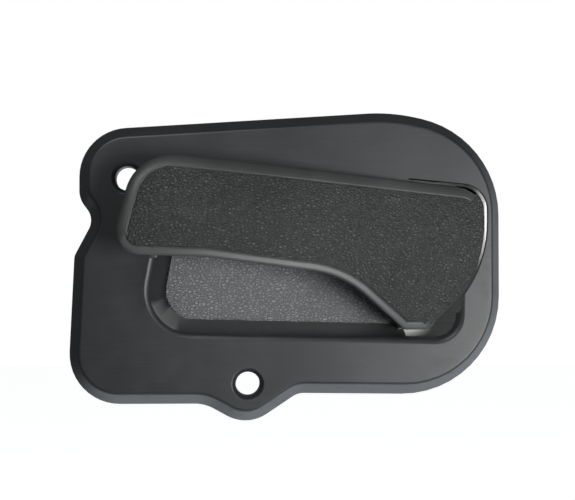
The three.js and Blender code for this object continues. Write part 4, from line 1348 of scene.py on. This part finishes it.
@dataclass
class Studio:
    """The pale floor, the soft lights and the camera."""

    camera: Vector = field(default_factory=lambda: Vector((-21.1, -425.0, -7.2)))
    target: Vector = field(default_factory=lambda: Vector((0.8, 0.0, 4.9)))
    lens: float = 88.2
    backdrop: tuple[float, float, float] = (1.0, 1.0, 1.0)
    surround: tuple[float, float, float] = (0.88, 0.94, 1.0)
    surround_strength: float = 0.1
    glow_towards: tuple[float, float, float] = (0.45, 0.35, -0.82)
    glow: float = 1.3
    softboxes: tuple[tuple[tuple[float, float, float], Pair, float], ...] = (
        ((215.0, -395.0, -85.0), (150.0, 200.0), 2.2),
        ((-120.0, -330.0, 280.0), (160.0, 120.0), 0.7),
    )

    def _camera(self) -> None:
        """Set the camera."""
        camera = bpy.data.objects.new("camera", bpy.data.cameras.new("camera"))
        bpy.context.scene.collection.objects.link(camera)
        camera.location = self.camera * MM
        camera.rotation_euler = (self.target - self.camera).to_track_quat("-Z", "Y").to_euler()
        camera.data.lens = self.lens
        camera.data.clip_start, camera.data.clip_end = 0.01, 20.0
        bpy.context.scene.camera = camera

    def _lights(self) -> None:
        """Hang the softboxes."""
        for number, (place, size, power) in enumerate(self.softboxes):
            lamp = bpy.data.lights.new(f"softbox_{number}", "AREA")
            lamp.shape = "RECTANGLE"
            lamp.size, lamp.size_y = size[0] * MM, size[1] * MM
            lamp.energy = power
            light = bpy.data.objects.new(lamp.name, lamp)
            bpy.context.scene.collection.objects.link(light)
            light.location = Vector(place) * MM
            light.rotation_euler = (-Vector(place)).to_track_quat("-Z", "Y").to_euler()

    def _world(self) -> None:
        """Make a white surround for the eye and a dimmer one for the light."""
        world = bpy.data.worlds.new("surround")
        bpy.context.scene.world = world
        world.use_nodes = True
        world.node_tree.nodes.clear()
        net = Net(world.node_tree)
        seen = net.add("Background", Color=(*self.backdrop, 1.0), Strength=1.0)
        light = net.add("Background", Color=(*self.surround, 1.0))
        towards = net.add("VectorMath", operation="DOT_PRODUCT")
        towards.inputs[1].default_value = Vector(self.glow_towards).normalized()
        net.wire(net.add("TexCoord").outputs["Generated"], towards.inputs[0])
        glow = net.span(towards.outputs["Value"], 0.1, 0.95, (self.surround_strength, self.glow))
        net.wire(glow, light.inputs["Strength"])
        ray = net.add("LightPath")
        mix = net.add("MixShader")
        net.wire(ray.outputs["Is Camera Ray"], mix.inputs[0])
        net.wire(light.outputs[0], mix.inputs[1])
        net.wire(seen.outputs[0], mix.inputs[2])
        net.wire(mix.outputs[0], net.add("OutputWorld").inputs["Surface"])

    def _floor(self) -> None:
        """Lay the pale floor under the handle."""
        low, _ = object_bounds()
        bpy.ops.mesh.primitive_plane_add(size=4.0, location=(0, 0, low.z - 0.09))
        floor = adopt("studio_floor")
        pale = bpy.data.materials.new("Pale floor")
        pale.use_nodes = True
        shader = pale.node_tree.nodes["Principled BSDF"]
        shader.inputs["Base Color"].default_value = (0.8, 0.8, 0.8, 1.0)
        shader.inputs["Roughness"].default_value = 0.7
        shader.inputs["Emission Color"].default_value = (1.0, 1.0, 1.0, 1.0)
        shader.inputs["Emission Strength"].default_value = 0.9
        floor.data.materials.append(pale)
        floor.visible_diffuse = floor.visible_glossy = False
        floor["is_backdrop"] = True

    def build(self) -> None:
        """Set up the whole studio."""
        scene = bpy.context.scene
        scene.view_settings.view_transform = "Standard"
        self._world()
        self._lights()
        self._floor()
        self._camera()


def main() -> None:
    """Build the handle piece by piece and set up the studio."""
    logging.basicConfig(level=logging.INFO, format="%(message)s")
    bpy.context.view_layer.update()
    shop = Workshop()
    escutcheon = Escutcheon()
    escutcheon.build(shop)
    RecessFloor(escutcheon.mouth).build(shop)
    Lever(escutcheon.lever_outline).build(shop)
    ReturnSpring().build(shop)
    TappingScrew().build(shop)
    Hinge().build(shop)
    Studio().build()


if __name__ == "__main__":
    main()
